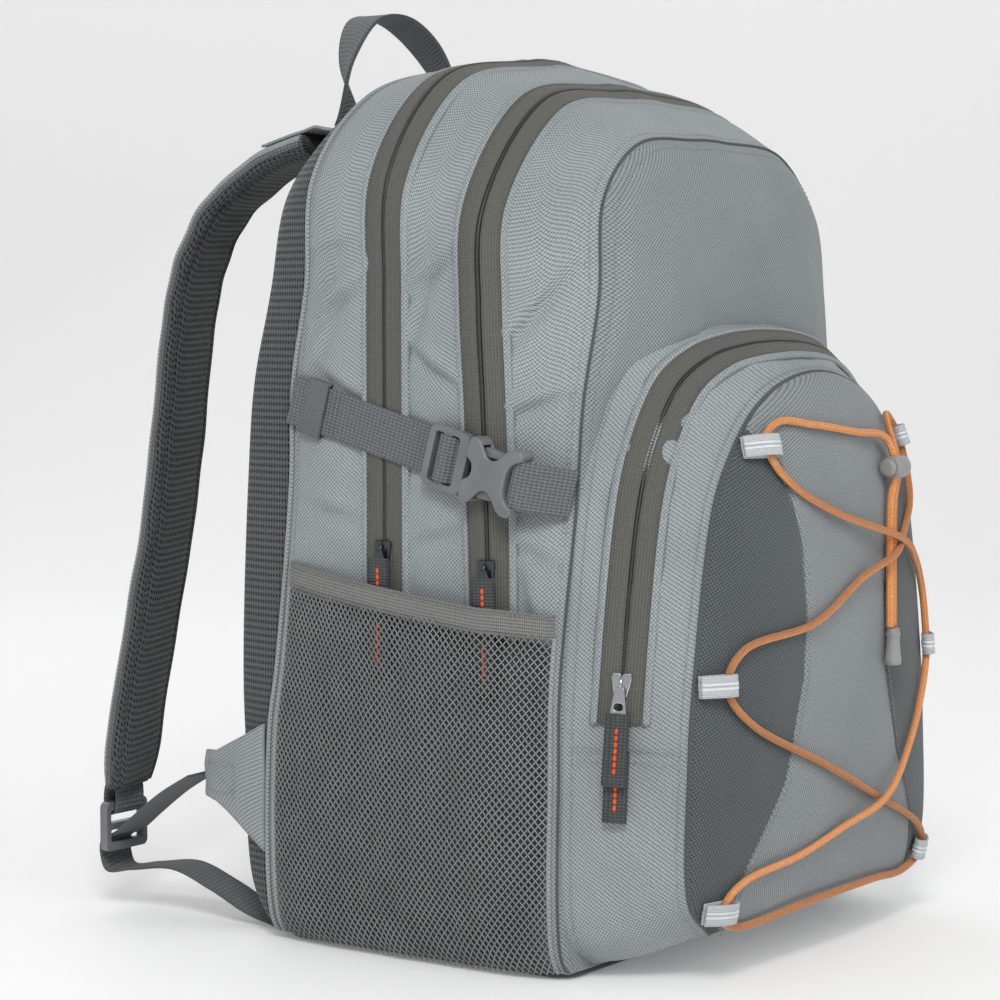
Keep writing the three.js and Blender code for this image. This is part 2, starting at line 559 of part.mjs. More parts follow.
const TAILS = { x: 45.5, z: 254, lift: 7.2 };
const lockY = faceY(TAILS.x, TAILS.z) - TAILS.lift;
const barrel = new THREE.CylinderGeometry(6.2, 6.2, 14.4, 16).rotateZ(Math.PI / 2);
const lockBody = carved(barrel, block([-6, 6], [-4, 4], [-9, 9]));
add('cord_lock_body', lockBody, PLASTIC).position.set(TAILS.x, lockY, TAILS.z);
add('cord_lock_button', new THREE.CylinderGeometry(5, 4.2, 2.4, 16).rotateZ(Math.PI / 2), PLASTIC)
  .position.set(TAILS.x - 11, lockY, TAILS.z);
const endProfile = [[0, 0], [2.4, 0], [4.2, 12], [4.5, 20], [0, 20]]
  .map(([r, z]) => new THREE.Vector2(r, z));
add('cord_end', new THREE.LatheGeometry(endProfile, 12).rotateX(Math.PI / 2), PLASTIC)
  .position.set(42.4, faceY(42.4, 158) - 5.2, 148);

export default daypack;
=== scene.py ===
"""A 30-litre daypack, in metres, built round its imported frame: fabric shells, zips, lacing and straps."""

import bmesh
import bpy
import numpy as np
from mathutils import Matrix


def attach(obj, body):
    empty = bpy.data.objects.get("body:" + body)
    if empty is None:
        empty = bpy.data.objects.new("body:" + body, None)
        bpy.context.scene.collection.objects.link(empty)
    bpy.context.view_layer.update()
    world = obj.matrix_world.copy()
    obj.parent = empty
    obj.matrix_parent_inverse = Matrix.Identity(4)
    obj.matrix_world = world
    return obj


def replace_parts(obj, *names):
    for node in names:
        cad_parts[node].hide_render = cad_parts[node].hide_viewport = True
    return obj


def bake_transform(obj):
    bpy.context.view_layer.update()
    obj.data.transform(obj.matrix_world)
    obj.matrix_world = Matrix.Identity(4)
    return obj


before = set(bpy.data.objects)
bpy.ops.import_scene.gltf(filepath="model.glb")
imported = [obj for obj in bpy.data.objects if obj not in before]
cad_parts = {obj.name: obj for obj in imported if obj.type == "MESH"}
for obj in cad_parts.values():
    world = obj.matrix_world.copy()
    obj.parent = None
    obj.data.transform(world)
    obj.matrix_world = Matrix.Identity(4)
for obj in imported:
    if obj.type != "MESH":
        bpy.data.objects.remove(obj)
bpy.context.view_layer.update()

# ==== Camera, floor and light ================================================================
# The pack stands on a pale floor under soft light, seen from its front left, a little above.
CAMERA_PLACE = (-1.342, -0.871, 0.340)
CAMERA_TURN = np.radians((86.15, 0, -55.2))
camera = bpy.data.objects.new("camera", bpy.data.cameras.new("camera"))
camera.location = CAMERA_PLACE
camera.rotation_euler = CAMERA_TURN
camera.data.lens = 104.4
bpy.context.collection.objects.link(camera)
bpy.context.scene.camera = camera


def linear(red, green, blue):
    """A display colour of 0 to 255 as a linear one."""
    c = np.array((red, green, blue)) / 255
    return (*np.where(c < 0.04045, c / 12.92, ((c + 0.055) / 1.055) ** 2.4), 1)


def add_mesh(name, points, faces, material=None, uv=None, smooth=True, values=None, body="pack"):
    """An object at the origin from points in millimetres, riding on a CAD body; uv and values are
    given for each point."""
    mesh = bpy.data.meshes.new(name)
    mesh.from_pydata((np.asarray(points, float) * 0.001).tolist(), [],
                     [[int(k) for k in face] for face in faces])
    if uv is not None:
        corner = np.empty(len(mesh.loops), np.int32)
        mesh.loops.foreach_get("vertex_index", corner)
        layer = mesh.uv_layers.new(name="cloth")
        layer.data.foreach_set("uv", (np.asarray(uv, float) * 0.001)[corner].ravel())
    for key, value in (values or {}).items():
        mesh.attributes.new(key, "FLOAT", "POINT").data.foreach_set("value", np.ravel(value))
    mesh.shade_smooth() if smooth else mesh.shade_flat()
    if material:
        mesh.materials.append(material)
    piece = bpy.data.objects.new(name, mesh)
    bpy.context.collection.objects.link(piece)
    if body:
        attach(piece, body)
    return piece


floor_material = bpy.data.materials.new("pale_floor")
floor_material.use_nodes = True
floor_shader = floor_material.node_tree.nodes["Principled BSDF"]
floor_shader.inputs["Base Color"].default_value = (0.95, 0.95, 0.95, 1)
floor_shader.inputs["Roughness"].default_value = 0.7
floor_shader.inputs["Emission Color"].default_value = (1, 1, 1, 1)
floor_shader.inputs["Emission Strength"].default_value = 0.13
# floor and wall are one sheet, flat for 1.8 m behind the pack, then curving up into the wall
FLOOR_REACH = 20000
CURVE_START = 1800
CURVE_RADIUS = 900
WALL_TOP = 6000
away = np.array((0.82, 0.57))
aside = np.array((-0.57, 0.82))
sweep_profile = [(-FLOOR_REACH, 0), (CURVE_START, 0)] + [
    (CURVE_START + CURVE_RADIUS * np.sin(a), CURVE_RADIUS - CURVE_RADIUS * np.cos(a))
    for a in np.linspace(0.1, np.pi / 2, 14)]
sweep_profile.append((CURVE_START + CURVE_RADIUS, WALL_TOP))
floor_points = [(*(away * d + aside * s), z) for d, z in sweep_profile
                for s in (-FLOOR_REACH, FLOOR_REACH)]
floor = add_mesh("floor", floor_points, [(2 * k, 2 * k + 2, 2 * k + 3, 2 * k + 1)
                                         for k in range(len(sweep_profile) - 1)],
                 floor_material, body=None)

world = bpy.data.worlds.new("studio")
world.use_nodes = True
world.node_tree.nodes["Background"].inputs["Color"].default_value = (1, 1, 1, 1)
world.node_tree.nodes["Background"].inputs["Strength"].default_value = 0.47
bpy.context.scene.world = world
bpy.context.scene.view_settings.view_transform = "Standard"
LIGHTS = {  # place, power, size
    "key": ((-1.6, -1.0, 1.7), 25, 0.7),
    "front": ((-0.3, -1.9, 1.1), 6, 1.0),
    "back": ((0.7, 1.6, 1.5), 6, 1.4),
}
for light_name, (place, power, size) in LIGHTS.items():
    lamp = bpy.data.objects.new(light_name, bpy.data.lights.new(light_name, "AREA"))
    lamp.location = place
    lamp.data.energy = power
    lamp.data.size = size
    aim = np.array((0, 0, 0.25)) - place
    lamp.rotation_euler = (np.arctan2(np.hypot(aim[0], aim[1]), -aim[2]), 0,
                           np.arctan2(-aim[0], aim[1]))
    bpy.context.collection.objects.link(lamp)

# ==== Seams ==================================================================================
# The shell is cut as panels between arched seams. Each seam is half an outline of points, half
# width, depth and height, from the base to the crown, joined by a smooth curve.
POCKET_EDGE = [
    (106, -139, 26), (125, -139, 44), (126, -139, 110), (122, -139, 150), (103, -139, 240),
    (88, -139, 264), (68, -139, 284), (44, -139, 297), (22, -139, 303), (6, -139, 305)]
POCKET_SEAM = [
    (122, -79, 6), (143, -79, 22), (147, -79, 110), (145, -79, 150), (132, -79, 245),
    (121, -80, 281), (104, -84, 311), (78, -90, 324), (40, -95, 329), (6, -96, 330)]
PANEL_CREST = [
    (100, -81, 16), (108, -81, 32), (108, -81, 110), (107, -81, 150), (96, -83, 245),
    (88, -92, 290), (74, -98, 345), (66, -96, 370), (44, -95, 388), (8, -95, 392)]
PANEL_SHOULDER = [
    (128, -80, 6), (138, -80, 22), (138, -80, 110), (137, -80, 150), (122, -81, 245),
    (116, -84, 290), (100, -90, 345), (94, -88, 385), (66, -86, 409), (8, -86, 414)]
FRONT_SEAM = [
    (136, -77, 0), (146, -77, 14), (148, -77, 110), (147, -77, 150), (133, -78, 245),
    (128, -78, 290), (112, -77, 345), (107, -76, 392), (75, -75, 421), (8, -74, 427)]
MIDDLE_ZIP = [
    (138, -38, 0), (148, -38, 14), (150, -38, 110), (150, -38, 150), (150, -35, 245),
    (150, -33, 290), (150, -30, 340), (145, -28, 385), (89, -26, 443), (8, -25, 453)]
REAR_ZIP = [
    (138, 28, 0), (148, 28, 14), (150, 28, 110), (150, 28, 150), (150, 28, 245),
    (150, 28, 300), (150, 28, 350), (147, 28, 405), (102, 28, 456), (8, 28, 472)]
BACK_SEAM = [
    (138, 107, 0), (148, 107, 14), (150, 107, 110), (150, 101, 150), (150, 91, 245),
    (150, 89, 300), (150, 80, 350), (147, 78, 405), (100, 78, 450), (8, 78, 472)]
BACK_CORNER = [
    (118, 118, 4), (143, 122, 22), (143, 130, 110), (143, 131, 150), (143, 127, 245),
    (143, 122, 300), (142, 110, 350), (139, 100, 400), (98, 98, 436), (8, 100, 460)]
BACK_CREST = [
    (95, 138, 14), (112, 140, 28), (114, 144, 110), (114, 143, 150), (114, 142, 245),
    (114, 138, 300), (112, 134, 350), (106, 129, 396), (78, 127, 424), (8, 128, 438)]
BASE_TOP = 3.4


def curve(keys, t):
    """Centripetal Catmull-Rom curve through keys: at t from 0 to 1, equal steps from key to key."""
    p = np.asarray(keys, float)
    p = np.vstack([2 * p[0] - p[1], p, 2 * p[-1] - p[-2]])
    gap = np.maximum(np.linalg.norm(np.diff(p, axis=0), axis=1) ** 0.5, 1e-4)
    x = np.clip(t, 0, 1) * (len(keys) - 1)
    i = np.minimum(x.astype(int), len(keys) - 2)
    s = (x - i)[..., None]
    a, b, c, d = p[i], p[i + 1], p[i + 2], p[i + 3]
    g0, g1, g2 = (gap[i + k][..., None] for k in range(3))
    m1 = ((b - a) / g0 - (c - a) / (g0 + g1) + (c - b) / g1) * g1
    m2 = ((c - b) / g1 - (d - b) / (g1 + g2) + (d - c) / g2) * g1
    return ((2 * s**3 - 3 * s**2 + 1) * b + (s**3 - 2 * s**2 + s) * m1
            + (3 * s**2 - 2 * s**3) * c + (s**3 - s**2) * m2)


BODY = [FRONT_SEAM, MIDDLE_ZIP, REAR_ZIP, BACK_SEAM]
GUSSET = [POCKET_SEAM, POCKET_EDGE]


def skin(seams, t, v):
    """A point of the surface stretched between seams, on the left half: the seam curves at t, and
    a straight line from seam to seam as v counts them."""
    t, v = np.broadcast_arrays(np.asarray(t, float), np.asarray(v, float))
    i = np.clip(np.floor(v).astype(int), 0, len(seams) - 2)
    lines = np.array([curve(s, t) * (-1, 1, 1) for s in seams])
    low = np.take_along_axis(lines, i[None, ..., None], 0)[0]
    high = np.take_along_axis(lines, i[None, ..., None] + 1, 0)[0]
    return low + (high - low) * (v - i)[..., None]


def skin_frame(seams, t, v):
    """The surface's point, the directions across the outline, up along it and outwards."""
    h = 0.004
    p = skin(seams, t, v)
    along = skin(seams, np.minimum(t + h, 1), v) - skin(seams, t - h, v)
    out = np.cross(along, skin(seams, t, v + h) - skin(seams, t, v - h))
    along /= np.linalg.norm(along, axis=-1, keepdims=True)
    out /= np.linalg.norm(out, axis=-1, keepdims=True)
    out = np.where((out * (p - (0, p[..., 1].mean(), 200))).sum(-1, keepdims=True) < 0, -out, out)
    return p, np.cross(along, out), along, out


def beside(seams, t, v0, d):
    """The v that lies d millimetres from seam v0."""
    first = np.clip(np.where(d < 0, np.ceil(v0) - 1, np.floor(v0)), 0, len(seams) - 2)
    lines = np.array([curve(s, np.asarray(t, float)) for s in seams])
    span = np.linalg.norm(np.diff(lines, axis=0), axis=-1)
    step = np.take_along_axis(span, np.broadcast_to(
        first.astype(int), span.shape[1:])[None], 0)[0]
    return v0 + d / step


def at_height(seams, v, z):
    """The t at which the surface reaches height z, by halving."""
    low, high = np.zeros(np.broadcast(v, z).shape), np.ones(np.broadcast(v, z).shape)
    for _ in range(24):
        middle = (low + high) / 2
        under = skin(seams, middle, v)[..., 2] < z
        low, high = np.where(under, middle, low), np.where(under, high, middle)
    return (low + high) / 2


def ladder_faces(n):
    """The faces that close a ring of n points, between points k and n-1-k."""
    k = np.arange(n // 2 - 1)
    return np.stack([k, n - 1 - k, n - 2 - k, k + 1], 1)


def loft(name, rings, material, uv=None, **more):
    """A closed solid through rings of equal count, its two ends closed by ladders, facing out."""
    rings = np.asarray(rings, float)
    rows, n = rings.shape[:2]
    r, k = np.meshgrid(np.arange(rows - 1), np.arange(n), indexing="ij")
    k2 = (k + 1) % n
    side = np.stack([r * n + k, r * n + k2, (r + 1) * n + k2, (r + 1) * n + k], -1).reshape(-1, 4)
    cap = ladder_faces(n)
    faces = np.vstack([side, cap, (rows - 1) * n + cap[:, ::-1]])
    p = rings.reshape(-1, 3)
    q = p[faces]
    volume = np.einsum("ij,ij->i", q[:, 0], np.cross(q[:, 1], q[:, 2])).sum() \
        + np.einsum("ij,ij->i", q[:, 0], np.cross(q[:, 2], q[:, 3])).sum()
    if volume < 0:
        faces = faces[:, ::-1]
    if uv is None:
        around = np.cumsum(np.linalg.norm(np.diff(rings, axis=1, prepend=rings[:, :1]), axis=2), 1)
        along = np.cumsum(np.linalg.norm(np.diff(rings, axis=0, prepend=rings[:1]), axis=2), 0)
        uv = np.stack([around, along], -1)
    return add_mesh(name, p, faces, material, uv.reshape(-1, 2), **more)


def both_halves(left):
    """A ring from its left half, base to crown, and back down the right half."""
    return np.concatenate([left, left[::-1] * (-1, 1, 1)])


def noise(p, scale, seed):
    """Smooth bumps from -1 to 1: a sum of five slanted sine waves over the points."""
    draw = np.random.default_rng(seed)
    total = 0
    for _ in range(5):
        way = draw.normal(size=3)
        way *= draw.uniform(0.6, 1.6) / (np.linalg.norm(way) * scale)
        total = total + np.sin(np.asarray(p) @ way * 2 * np.pi + draw.uniform(0, 6.28))
    return total / 3


# ==== Cloth ==================================================================================
# The shell is a coated plain-weave polyester in two greys, its threads about half a millimetre.
def shader(name, roughness, metallic=0.0, **sockets):
    """A material with its one shader, and the nodes and a link function to build on."""
    material = bpy.data.materials.new(name)
    material.use_nodes = True
    tree = material.node_tree
    principled = tree.nodes["Principled BSDF"]
    principled.inputs["Roughness"].default_value = roughness
    principled.inputs["Metallic"].default_value = metallic
    for key, value in sockets.items():
        principled.inputs[key.replace("_", " ")].default_value = value
    return material, tree, principled


def node(tree, kind, inputs=(), **settings):
    """A node with its settings made, its inputs given as values or as other nodes' outputs."""
    made = tree.nodes.new(kind)
    for key, value in settings.items():
        setattr(made, key, value)
    for key, value in dict(inputs).items():
        if isinstance(value, bpy.types.NodeSocket):
            tree.links.new(value, made.inputs[key])
        else:
            made.inputs[key].default_value = value
    return made


def maths(tree, operation, a, b=0.0, c=0.0):
    """One arithmetic step."""
    return node(tree, "ShaderNodeMath", {0: a, 1: b, 2: c}, operation=operation).outputs[0]


def cloth_axes(tree, turn=0.0):
    """The two thread directions, in metres along the cloth."""
    uv = node(tree, "ShaderNodeUVMap", uv_map="cloth").outputs[0]
    if turn:
        uv = node(tree, "ShaderNodeMapping", {0: uv, "Rotation": (0, 0, turn)}).outputs[0]
    split = node(tree, "ShaderNodeSeparateXYZ", {0: uv})
    return split.outputs[0], split.outputs[1], uv


def wave(tree, value, pitch, shift=0.0):
    """A sine along a thread direction, one turn for each pitch in metres."""
    return maths(tree, "SINE", maths(tree, "MULTIPLY_ADD", value, 2 * np.pi / pitch, shift))


def mixed(tree, factor, low, high):
    """A colour between two."""
    mix = node(tree, "ShaderNodeMix", data_type="RGBA", clamp_factor=True)
    for socket, value in ((0, factor), (6, low), (7, high)):
        if isinstance(value, bpy.types.NodeSocket):
            tree.links.new(value, mix.inputs[socket])
        else:
            mix.inputs[socket].default_value = value
    return mix.outputs[2]


def ramp(tree, value, low, high):
    """Value brought from the range low to high onto 0 to 1."""
    return node(tree, "ShaderNodeMapRange", {0: value, 1: low, 2: high}).outputs[0]


def speckle(tree, scale, detail=2.0, vector=None):
    """Soft noise from the piece's own coordinates."""
    if vector is None:
        vector = node(tree, "ShaderNodeTexCoord").outputs["Object"]
    return node(tree, "ShaderNodeTexNoise",
                {"Vector": vector, "Scale": scale, "Detail": detail}).outputs[0]


def bump(tree, principled, height, strength, distance):
    """The shader's normal from a height."""
    made = node(tree, "ShaderNodeBump",
                {"Height": height, "Strength": strength, "Distance": distance})
    tree.links.new(made.outputs[0], principled.inputs["Normal"])


def woven(name, light, dark, pitch=0.0022, turn=0.0, roughness=0.85, inserts=None):
    """Plain weave: warp and weft threads cross over in a chequer, with heather flecks and
    cloudy shading. inserts, another pair of colours, shows where the piece's insert value is
    above 0."""
    material, tree, principled = shader(name, roughness, Sheen_Weight=0.12, Sheen_Roughness=0.5,
                                        Specular_IOR_Level=0.3)
    across, up, uv = cloth_axes(tree, turn)
    check = maths(tree, "MULTIPLY", wave(tree, across, pitch), wave(tree, up, pitch))
    fleck = speckle(tree, 900, 1, uv)
    level = maths(tree, "ADD", maths(tree, "MULTIPLY", check, 0.62),
                  maths(tree, "MULTIPLY_ADD", fleck, 0.8, 0.1))
    shade = mixed(tree, level, linear(*dark), linear(*light))
    if inserts:
        inside = node(tree, "ShaderNodeAttribute", attribute_name="insert").outputs["Fac"]
        inner = mixed(tree, level, linear(*inserts[1]), linear(*inserts[0]))
        shade = mixed(tree, maths(tree, "GREATER_THAN", inside, 0.0), shade, inner)
    shade = mixed(tree, ramp(tree, speckle(tree, 14, 3), 0.35, 0.75), shade,
                  node(tree, "ShaderNodeHueSaturation", {"Color": shade, "Value": 0.86}).outputs[0])
    tree.links.new(shade, principled.inputs["Base Color"])
    bump(tree, principled, maths(tree, "MULTIPLY_ADD", fleck, 0.5, check), 0.3, 0.0003)
    return material


body_cloth = woven("grey_oxford", (178, 184, 186), (110, 117, 120))
dark_cloth = woven("base_oxford", (98, 102, 104), (66, 70, 72))

# ==== Compartments ===========================================================================
# Three padded cloth shells stand one behind another, each a slice of the body between seams; the
# cloth swells slightly between the seams, which draw it in, and creases run up from the base.
SAMPLES = 260
HALF = np.linspace(0, 1, SAMPLES)


def swell(share, rise):
    """Cloth between two seams: 0 at the seams, rise in the middle, as a flattened arch."""
    return rise * np.sin(np.pi * np.clip(share, 0, 1)) ** 0.8


FOLDS = [  # depth y, height z, slope in degrees, half length and depth of the deeper side folds
    (62, 338, -35, 26, 2.3), (72, 366, -15, 22, 1.9), (56, 296, 28, 24, 1.7),
    (74, 306, -62, 20, 1.6), (64, 232, 12, 20, 1.6), (2, 352, -42, 26, 2.2),
    (-4, 306, 32, 24, 1.8), (8, 330, -70, 18, 1.4), (-8, 222, -18, 22, 1.6),
    (-52, 334, -58, 28, 2.3), (-56, 288, -24, 22, 2.0), (-60, 214, 22, 20, 1.6),
    (-50, 236, -48, 20, 1.5), (-58, 180, 75, 30, 1.2), (-56, 120, 60, 30, 1.4)]


def folds(p):
    """Creases in the side cloth: each a groove with a soft ridge beside it, fading at both ends."""
    total = np.zeros(len(p))
    for y, z, slope, reach, deep in FOLDS:
        way = np.array((np.cos(np.radians(slope)), np.sin(np.radians(slope))))
        offset = p[:, 1:] - (y, z)
        along, aside = offset @ way, offset @ (-way[1], way[0])
        total += 2.1 * deep * np.exp(-(along / reach) ** 2) * (
            0.7 * np.exp(-((aside - 5.5) / 4.5) ** 2) - np.exp(-(aside / 3.2) ** 2))
    return total


def settle(p, lift):
    """The side cloth's lift, pressed flat under the compression strap and inside the net."""
    side = np.clip((np.abs(p[:, 0]) - 118) / 15, 0, 1)
    under_strap = np.exp(-((p[:, 2] - 258.8 - (p[:, 1] + 30) * 45 / 168) / 15) ** 2)
    in_net = np.clip((195 - p[:, 2]) / 20, 0, 1)
    return lift * (1 - side * np.maximum(under_strap, 0.7 * in_net)) - 0.7 * side * under_strap


def shell_ring(seams, v, out_by):
    """A ring of the shell at v, moved outwards by out_by."""
    p, _, _, out = skin_frame(seams, HALF, np.full(SAMPLES, float(v)))
    p = p + out * np.asarray(out_by)[..., None]
    p[:, 2] = np.maximum(p[:, 2], BASE_TOP)
    p[:, 0] = np.minimum(p[:, 0], -0.5)
    return both_halves(p)


def shell(name, low, high, rise, material, seed):
    """The slice of the body from seam low to seam high, wrinkled, with its two end rings drawn in."""
    rings = []
    for share in np.r_[0, 0.0, 0.03, np.linspace(0.07, 0.93, 26), 0.97, 1, 1]:
        v = low + (high - low) * share
        base = skin(BODY, HALF, np.full(SAMPLES, v))
        crease = noise(base * (1, 1, 0.4), 60, seed) * 0.9 + noise(base, 24, seed + 1) * 0.3
        lift = swell(share, rise) + (crease + folds(base)) * np.sin(np.pi * share) ** 1.2
        lift = settle(base, lift * np.clip(base[:, 2] / 12, 0, 1))
        rings.append(shell_ring(BODY, v, lift + 0.15))
    rings[0] = rings[0] * (0.985, 1, 0.99) + (0, 0.6, 0)
    rings[-1] = rings[-1] * (0.985, 1, 0.99) - (0, 0.6, 0)
    piece = loft(name + "_shell", rings, material)
    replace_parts(piece, name)


shell("middle_compartment", 1, 2, 2.4, body_cloth, 3)
shell("rear_compartment", 2, 3, 2.4, body_cloth, 5)

# Front compartment: its side band runs from the first zip to a piped seam, then the darker front
# panel rises over a rounded shoulder to an arched crest and lies almost flat above the pocket.
band = []
for share in np.linspace(1, 0, 22):
    base = skin(BODY, HALF, np.full(SAMPLES, share))
    crease = (noise(base * (1, 1, 0.4), 60, 8) * 0.8 + folds(base)) * np.sin(np.pi * share) ** 1.2
    lift = (swell(share, 2.2) + crease) * np.clip(base[:, 2] / 12, 0, 1)
    band.append(shell_ring(BODY, share, settle(base, lift) + 0.15))
band[0] = band[0] * (0.985, 1, 0.99) - (0, 0.6, 0)
seam_left = skin(BODY, HALF, np.zeros(SAMPLES))
shoulder_left = curve(PANEL_SHOULDER, HALF) * (-1, 1, 1)
crest_left = curve(PANEL_CREST, HALF) * (-1, 1, 1)
seam_left[:, 2], shoulder_left[:, 2], crest_left[:, 2] = (
    np.maximum(line[:, 2], BASE_TOP) for line in (seam_left, shoulder_left, crest_left))
for line in (seam_left, shoulder_left, crest_left):
    line[:, 0] = np.minimum(line[:, 0], -0.5)
panel = []
for share in np.linspace(0.04, 1, 12):
    p = (1 - share) * seam_left + share * shoulder_left
    panel.append(p - (0, 1.6 * np.sin(np.pi * share) ** 0.7, 0))
for share in np.linspace(0.08, 1, 12):
    panel.append((1 - share) * shoulder_left + share * crest_left)
centre = np.stack([crest_left[:, 0] * 0, crest_left[:, 1], 60 + crest_left[:, 2] * 0.55], -1)
for share in np.linspace(0.12, 0.9, 16):
    p = (1 - share) * crest_left + share * centre
    sag = (noise(p * (1, 0, 1), 70, 12) * 1.3 + noise(p * (1, 0, 1), 26, 13) * 0.4) \
        * np.sin(np.pi * share) ** 0.5
    panel.append(p - np.stack([0 * sag, 1.8 * np.sin(np.pi * share) + sag, 0 * sag], -1))
loft_rings = band + [both_halves(p) for p in panel]
panel_uv = [both_halves(p)[:, [0, 2]] for p in panel]
band_uv = [np.stack([np.cumsum(np.linalg.norm(np.diff(r, axis=0, prepend=r[:1]), axis=1)),
                     r[:, 1]], -1) for r in band]
front = loft("front_compartment_shell", loft_rings, body_cloth, np.array(band_uv + panel_uv),
             values={"insert": np.repeat([0.0] * len(band) + [1.0] * len(panel), 2 * SAMPLES)})
front.data.materials.clear()
front_cloth = woven("front_oxford", (178, 184, 186), (110, 117, 120),
                    inserts=((160, 166, 167), (96, 103, 105)))
front.data.materials.append(front_cloth)
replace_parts(front, "front_compartment")

# Piped seams: a rolled edge of the body cloth, sewn in where panels meet, stands up 1 mm.


def plain(name, colour, roughness, metallic=0.0, grain=0.0, **sockets):
    """A moulded or cast material: one colour, clouded a little, with a fine grain in its surface."""
    material, tree, principled = shader(name, roughness, metallic, **sockets)
    cloud = speckle(tree, 60, 3)
    shade = mixed(tree, ramp(tree, cloud, 0.3, 0.7), linear(*colour),
                  linear(*(0.9 * np.array(colour))))
    tree.links.new(shade, principled.inputs["Base Color"])
    tree.links.new(maths(tree, "MULTIPLY_ADD", cloud, 0.14, roughness - 0.07),
                   principled.inputs["Roughness"])
    bump(tree, principled, speckle(tree, 1500, 2), 0.15 + grain, 0.0001)
    return material


thread_grey = plain("thread_grey", (150, 154, 156), 0.75)


def frames_along(path, across=None):
    """Directions along a path, across it and out of it; across holds the width's direction."""
    along = np.gradient(path, axis=0)
    along /= np.linalg.norm(along, axis=1, keepdims=True)
    if across is None:
        across = np.zeros_like(path)
        side = np.cross(along[0], (0, 0, 1) if abs(along[0, 2]) < 0.9 else (1, 0, 0))
        for i, way in enumerate(along):
            side = side - way * (side @ way)
            side = side / np.linalg.norm(side)
            across[i] = side
    across = np.broadcast_to(across, path.shape)
    across = across - along * (across * along).sum(1, keepdims=True)
    across /= np.linalg.norm(across, axis=1, keepdims=True)
    return along, across, np.cross(along, across)


def sweep(path, outline, across=None):
    """Rings of a section outline, (n, 2) or one for each point, carried along a path."""
    path = np.asarray(path, float)
    _, side, out = frames_along(path, across)
    outline = np.broadcast_to(outline, (len(path), *np.shape(outline)[-2:]))
    return path[:, None] + side[:, None] * outline[..., :1] + out[:, None] * outline[..., 1:]


def circle(radius, n=8):
    """A ring of n points."""
    a = np.linspace(0, 2 * np.pi, n, endpoint=False)
    return np.stack([np.cos(a), np.sin(a)], -1) * radius


def resampled(path, step):
    """A path's points spread evenly, step millimetres apart."""
    path = np.asarray(path, float)
    run = np.r_[0, np.cumsum(np.linalg.norm(np.diff(path, axis=0), axis=1))]
    at = np.linspace(0, run[-1], max(2, int(run[-1] / step)))
    return np.stack([np.interp(at, run, path[:, k]) for k in range(3)], -1)


def rod(name, path, radius, material, n=8, **more):
    """A round rod along a path."""
    return loft(name, sweep(path, circle(radius, n)), material, **more)


def stitches(name, paths, normals, material, pitch=3.2, length=2.3, radius=0.28, lift=0.15):
    """Rows of thread: one small lozenge of thread for each stitch, lying along each path."""
    points, faces = [], []
    section = np.array([(-1, 0), (0, 0.8), (1, 0), (0, -0.8)])
    for path, normal in zip(paths, normals):
        path, normal = np.asarray(path, float), np.broadcast_to(normal, np.shape(path))
        run = np.r_[0, np.cumsum(np.linalg.norm(np.diff(path, axis=0), axis=1))]
        at = np.arange(pitch / 2, run[-1], pitch)
        centre = np.stack([np.interp(at, run, path[:, k]) for k in range(3)], -1)
        ahead = np.stack([np.interp(at + 0.5, run, path[:, k]) for k in range(3)], -1)
        behind = np.stack([np.interp(at - 0.5, run, path[:, k]) for k in range(3)], -1)
        up = np.stack([np.interp(at, run, normal[:, k]) for k in range(3)], -1)
        way = ahead - behind
        way /= np.linalg.norm(way, axis=1, keepdims=True)
        up /= np.linalg.norm(up, axis=1, keepdims=True)
        side = np.cross(way, up)
        for shift, scale, sink in ((-0.5, 0.35, -0.25), (-0.25, 1, 0), (0.25, 1, 0),
                                   (0.5, 0.35, -0.25)):
            for a, b in section:
                points.append(centre + way * length * shift + side * radius * a * scale
                              + up * (radius * b * scale + lift + sink))
    if not points:
        return None
    groups, index = [], 0
    for k in range(0, len(points), 16):
        groups.append(np.stack(points[k:k + 16], 1).reshape(-1, 3))
        for s in range(len(groups[-1]) // 16):
            o = index + 16 * s
            for r in range(3):
                for j in range(4):
                    faces.append((o + 4 * r + j, o + 4 * r + (j + 1) % 4,
                                  o + 4 * r + 4 + (j + 1) % 4, o + 4 * r + 4 + j))
            faces += [(o + 3, o + 2, o + 1, o), (o + 12, o + 13, o + 14, o + 15)]
        index += len(groups[-1])
    return add_mesh(name, np.concatenate(groups), faces, material)


def join(name, pieces):
    """Several pieces as one object, keeping the first one's materials."""
    with bpy.context.temp_override(active_object=pieces[0], selected_editable_objects=pieces):
        bpy.ops.object.join()
    pieces[0].name = pieces[0].data.name = name
    return pieces[0]


def seam_line(seams, v, lift, low_t=0.0):
    """A whole arch along seam v, lift outside the shell, and its outward directions."""
    t = np.linspace(low_t, 1, 160)
    p, _, _, out = skin_frame(seams, t, np.full(160, float(v)))
    p = p + out * lift
    p[:, 2] = np.maximum(p[:, 2], BASE_TOP + 1.2)
    p[:, 0] = np.minimum(p[:, 0], -0.5)
    return both_halves(p), both_halves(out)


rod("front_piping", resampled(seam_line(BODY, 0, 0.5)[0], 3), 0.8, dark_cloth)
rod("back_piping", resampled(seam_line(BODY, 3, 0.9)[0], 3), 1.3, body_cloth)
# the darker panel's crest is topstitched, and so are the bands beside each seam
rows = [seam_line(BODY, v, 1.4 if 0.2 < v % 1 < 0.8 else 1.0) for v in (0.09, 0.13, 2.93)]
rows.append((both_halves(shoulder_left * 0.35 + seam_left * 0.65) - (0, 1.7, 0),
             np.array((0, -1.0, 0))))
stitches("shell_stitching", *zip(*rows), thread_grey)

# ==== Zips ===================================================================================
# Each zip is an arch of two olive-grey tape halves over a coil that shows as a dark groove
# between them; stitch rows hold the tapes down and the cloth beside them is turned back.


